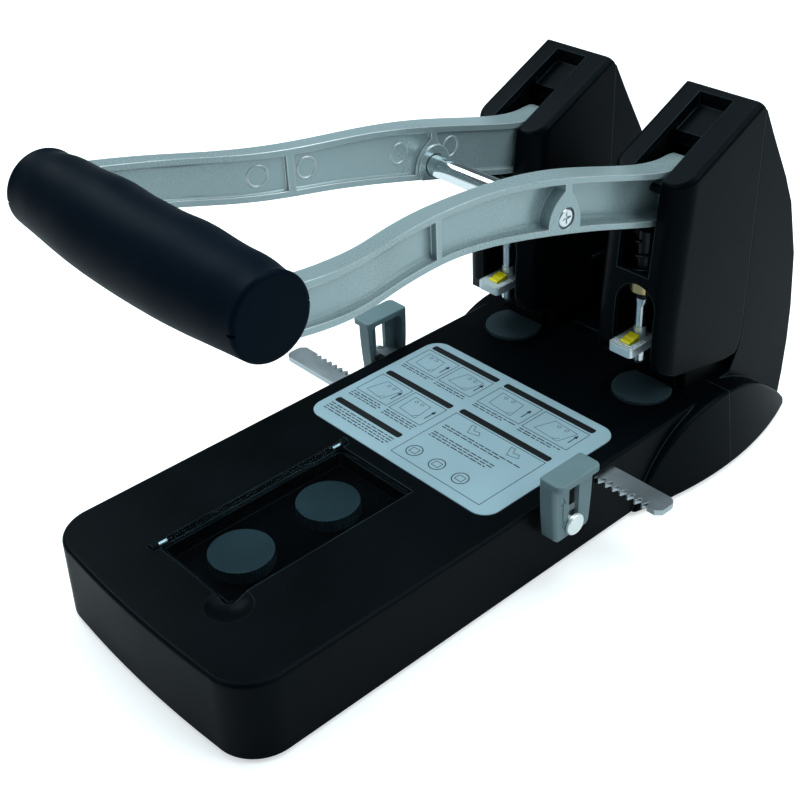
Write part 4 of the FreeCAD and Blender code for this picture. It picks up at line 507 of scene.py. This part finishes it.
def label_print():
    """The look of an instruction label with no words: headers, framed drawings and dashes."""
    dice = random.Random(LABEL_SEED)
    ink = Print()
    for (x0, x1), tops in ((LEFT_COLUMN, LEFT_HEADER_TOPS), (RIGHT_COLUMN, RIGHT_HEADER_TOPS)):
        for top in tops:
            ink.bar(x0, x1, top - HEADER_HEIGHT, top, HEADER_CORNER)
    for column in (LEFT_COLUMN, RIGHT_COLUMN):
        picture_pair(ink, column, UPPER_PICTURES, turned=1, caption_rows=2, dice=dice)
    picture_pair(ink, LEFT_COLUMN, LOWER_PICTURES, turned=0, caption_rows=3, dice=dice)
    x0, x1 = LEFT_COLUMN
    ink.rules(x0 + LEFT_TEXT_MARGIN, x1 - LEFT_TEXT_MARGIN, LEFT_TEXT_Y, LEFT_TEXT_ROWS,
              TEXT_PITCH, dice)
    x0, x1 = RIGHT_COLUMN
    ink.frame(x0, x1, *NOTES_BOX)
    for y, rows, margin in NOTES_TEXTS:
        ink.rules(x0 + NOTES_TEXT_MARGIN, x1 - margin, y, rows, TEXT_PITCH, dice)
    for share in TAB_PLACES:
        left = x0 + share * (x1 - x0)
        ink.path([(left + x, y) for x, y in TAB_OUTLINE], TAB_LINE)
    for i in range(RINGS):
        along = i * RING_PITCH
        ink.ring(x0 + RING_X + along, RING_Y, RING_RADIUS, RING_LINE)
        a, b = (x0 + x + along for x in SQUARE_X)
        low, high = SQUARE_Y
        ink.path([(a, low), (b, low), (b, high), (a, high), (a, low)], SQUARE_LINE)
    piece = ink.finish("label_print", finishes["label_ink"])
    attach(piece, "base")


def closing_springs():
    """Copies of the CAD's rigid return springs, attached to the base, that stand in for them."""
    for side in ("left", "right"):
        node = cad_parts["return_spring_" + side]
        mesh = node.data.copy()
        mesh.transform(node.matrix_world)
        coil = linked("closing_spring_" + side, mesh)
        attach(coil, "base")
        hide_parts("return_spring_" + side)
        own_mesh(coil)


# ---------------------------------------------------------------- floor and light
FLOOR_HALF = 6.0
FLOOR_Z = -0.0004
FLOOR_SHADES = ((0.80, 0.80, 0.80), (0.83, 0.83, 0.83))
FLOOR_NOISE_SCALE = 3.0
GLOW_NEAR, GLOW_FAR = 0.45, 1.5         # metres from the frame's origin
GLOW_LEAST, GLOW_MOST = 0.5, 1.0


def make_floor():
    """A pale floor that glows a little for rays that see it directly or through glass.

    The glow grows with the distance, so that the floor meets the white studio with no edge.
    """
    mesh = bpy.data.meshes.new("floor")
    corners = [(x * FLOOR_HALF, y * FLOOR_HALF, FLOOR_Z)
               for x, y in ((-1, -1), (1, -1), (1, 1), (-1, 1))]
    mesh.from_pydata(corners, [], [(0, 1, 2, 3)])
    floor = linked("floor", mesh)
    material = bpy.data.materials.new("floor")
    tree = Tree(material)
    place = tree.add("TexCoord").outputs["Object"]
    colour = tree.mix(tree.noise(place, FLOOR_NOISE_SCALE), *map(rgba, FLOOR_SHADES))
    diffuse = tree.add("BsdfDiffuse", {"Color": colour})
    away = tree.add("VectorMath", {0: place}, operation="LENGTH").outputs["Value"]
    fill = tree.spread(away, GLOW_NEAR, GLOW_FAR, GLOW_LEAST, GLOW_MOST)
    path = tree.add("LightPath").outputs
    direct = tree.maths("ADD", path["Is Camera Ray"], path["Is Transmission Ray"], clamp=True)
    glow = tree.add("Emission", {"Color": rgba(WHITE),
                                 "Strength": tree.maths("MULTIPLY", direct, fill)})
    both = tree.add("AddShader", {0: diffuse.outputs[0], 1: glow.outputs[0]})
    tree.surface("OutputMaterial", both.outputs[0])
    mesh.materials.append(material)


# The sine of a ray's height over the horizon, and what glossy and transmission rays meet there.
WALL_LOW, WALL_HIGH = 0.05, 0.4
WALL_STRENGTH, CEILING_STRENGTH = 0.4, 0.12
AMBIENT_STRENGTH = 0.3


def make_world():
    """A studio that is white to the camera.

    Reflections and glass see a cool wall that is dimmer overhead, and all other rays an even
    cool light.
    """
    world = bpy.data.worlds.new("studio")
    bpy.context.scene.world = world
    tree = Tree(world)
    path = tree.add("LightPath").outputs
    camera_ray = path["Is Camera Ray"]
    seen = tree.maths("ADD", tree.maths("ADD", camera_ray, path["Is Glossy Ray"]),
                      path["Is Transmission Ray"], clamp=True)
    ray = tree.add("TexCoord").outputs["Generated"]
    height = tree.add("SeparateXYZ", {0: ray}).outputs["Z"]
    wall = tree.spread(height, WALL_LOW, WALL_HIGH, WALL_STRENGTH, CEILING_STRENGTH, smooth=True)
    strength = tree.add("Mix", {MIX_SHARE: seen, MIX_FLOAT_A: AMBIENT_STRENGTH,
                                MIX_FLOAT_B: tree.maths("MAXIMUM", wall, camera_ray)},
                        data_type="FLOAT")
    background = tree.add("Background", {"Color": tree.mix(camera_ray, rgba(COOL), rgba(WHITE)),
                                         "Strength": strength.outputs[0]})
    tree.surface("OutputWorld", background.outputs[0])


LAMP_COLOUR = (0.84, 0.97, 1.0)
LAMP_AIM = Vector((0, -0.07, 0.07))
# name, azimuth and elevation in degrees, distance and size in metres, power in watts
LAMPS = (
    ("top_box", 190, 74, 1.3, (1.1, 0.9), 12),
    ("right_box", 122, 40, 1.4, (0.8, 0.9), 9),
    ("front_box", -20, 38, 1.6, (1.0, 0.8), 5),
    ("left_box", -85, 51, 1.4, (0.6, 0.7), 9),
)


def make_lights():
    """Softboxes that face the middle of the object."""
    for name, azimuth, elevation, distance, size, power in LAMPS:
        data = bpy.data.lights.new(name, "AREA")
        data.shape = "RECTANGLE"
        data.size, data.size_y = size
        data.energy = power
        data.color = LAMP_COLOUR
        lamp = linked(name, data)
        back = outward(math.radians(azimuth), math.radians(elevation))
        lamp.location = LAMP_AIM + back * distance
        lamp.rotation_mode = "QUATERNION"
        lamp.rotation_quaternion = back.to_track_quat("Z", "Y")


make_camera()
make_floor()
make_world()
make_lights()
repaint_nodes()
label_print()
closing_springs()

bpy.context.scene.view_settings.view_transform = "Standard"
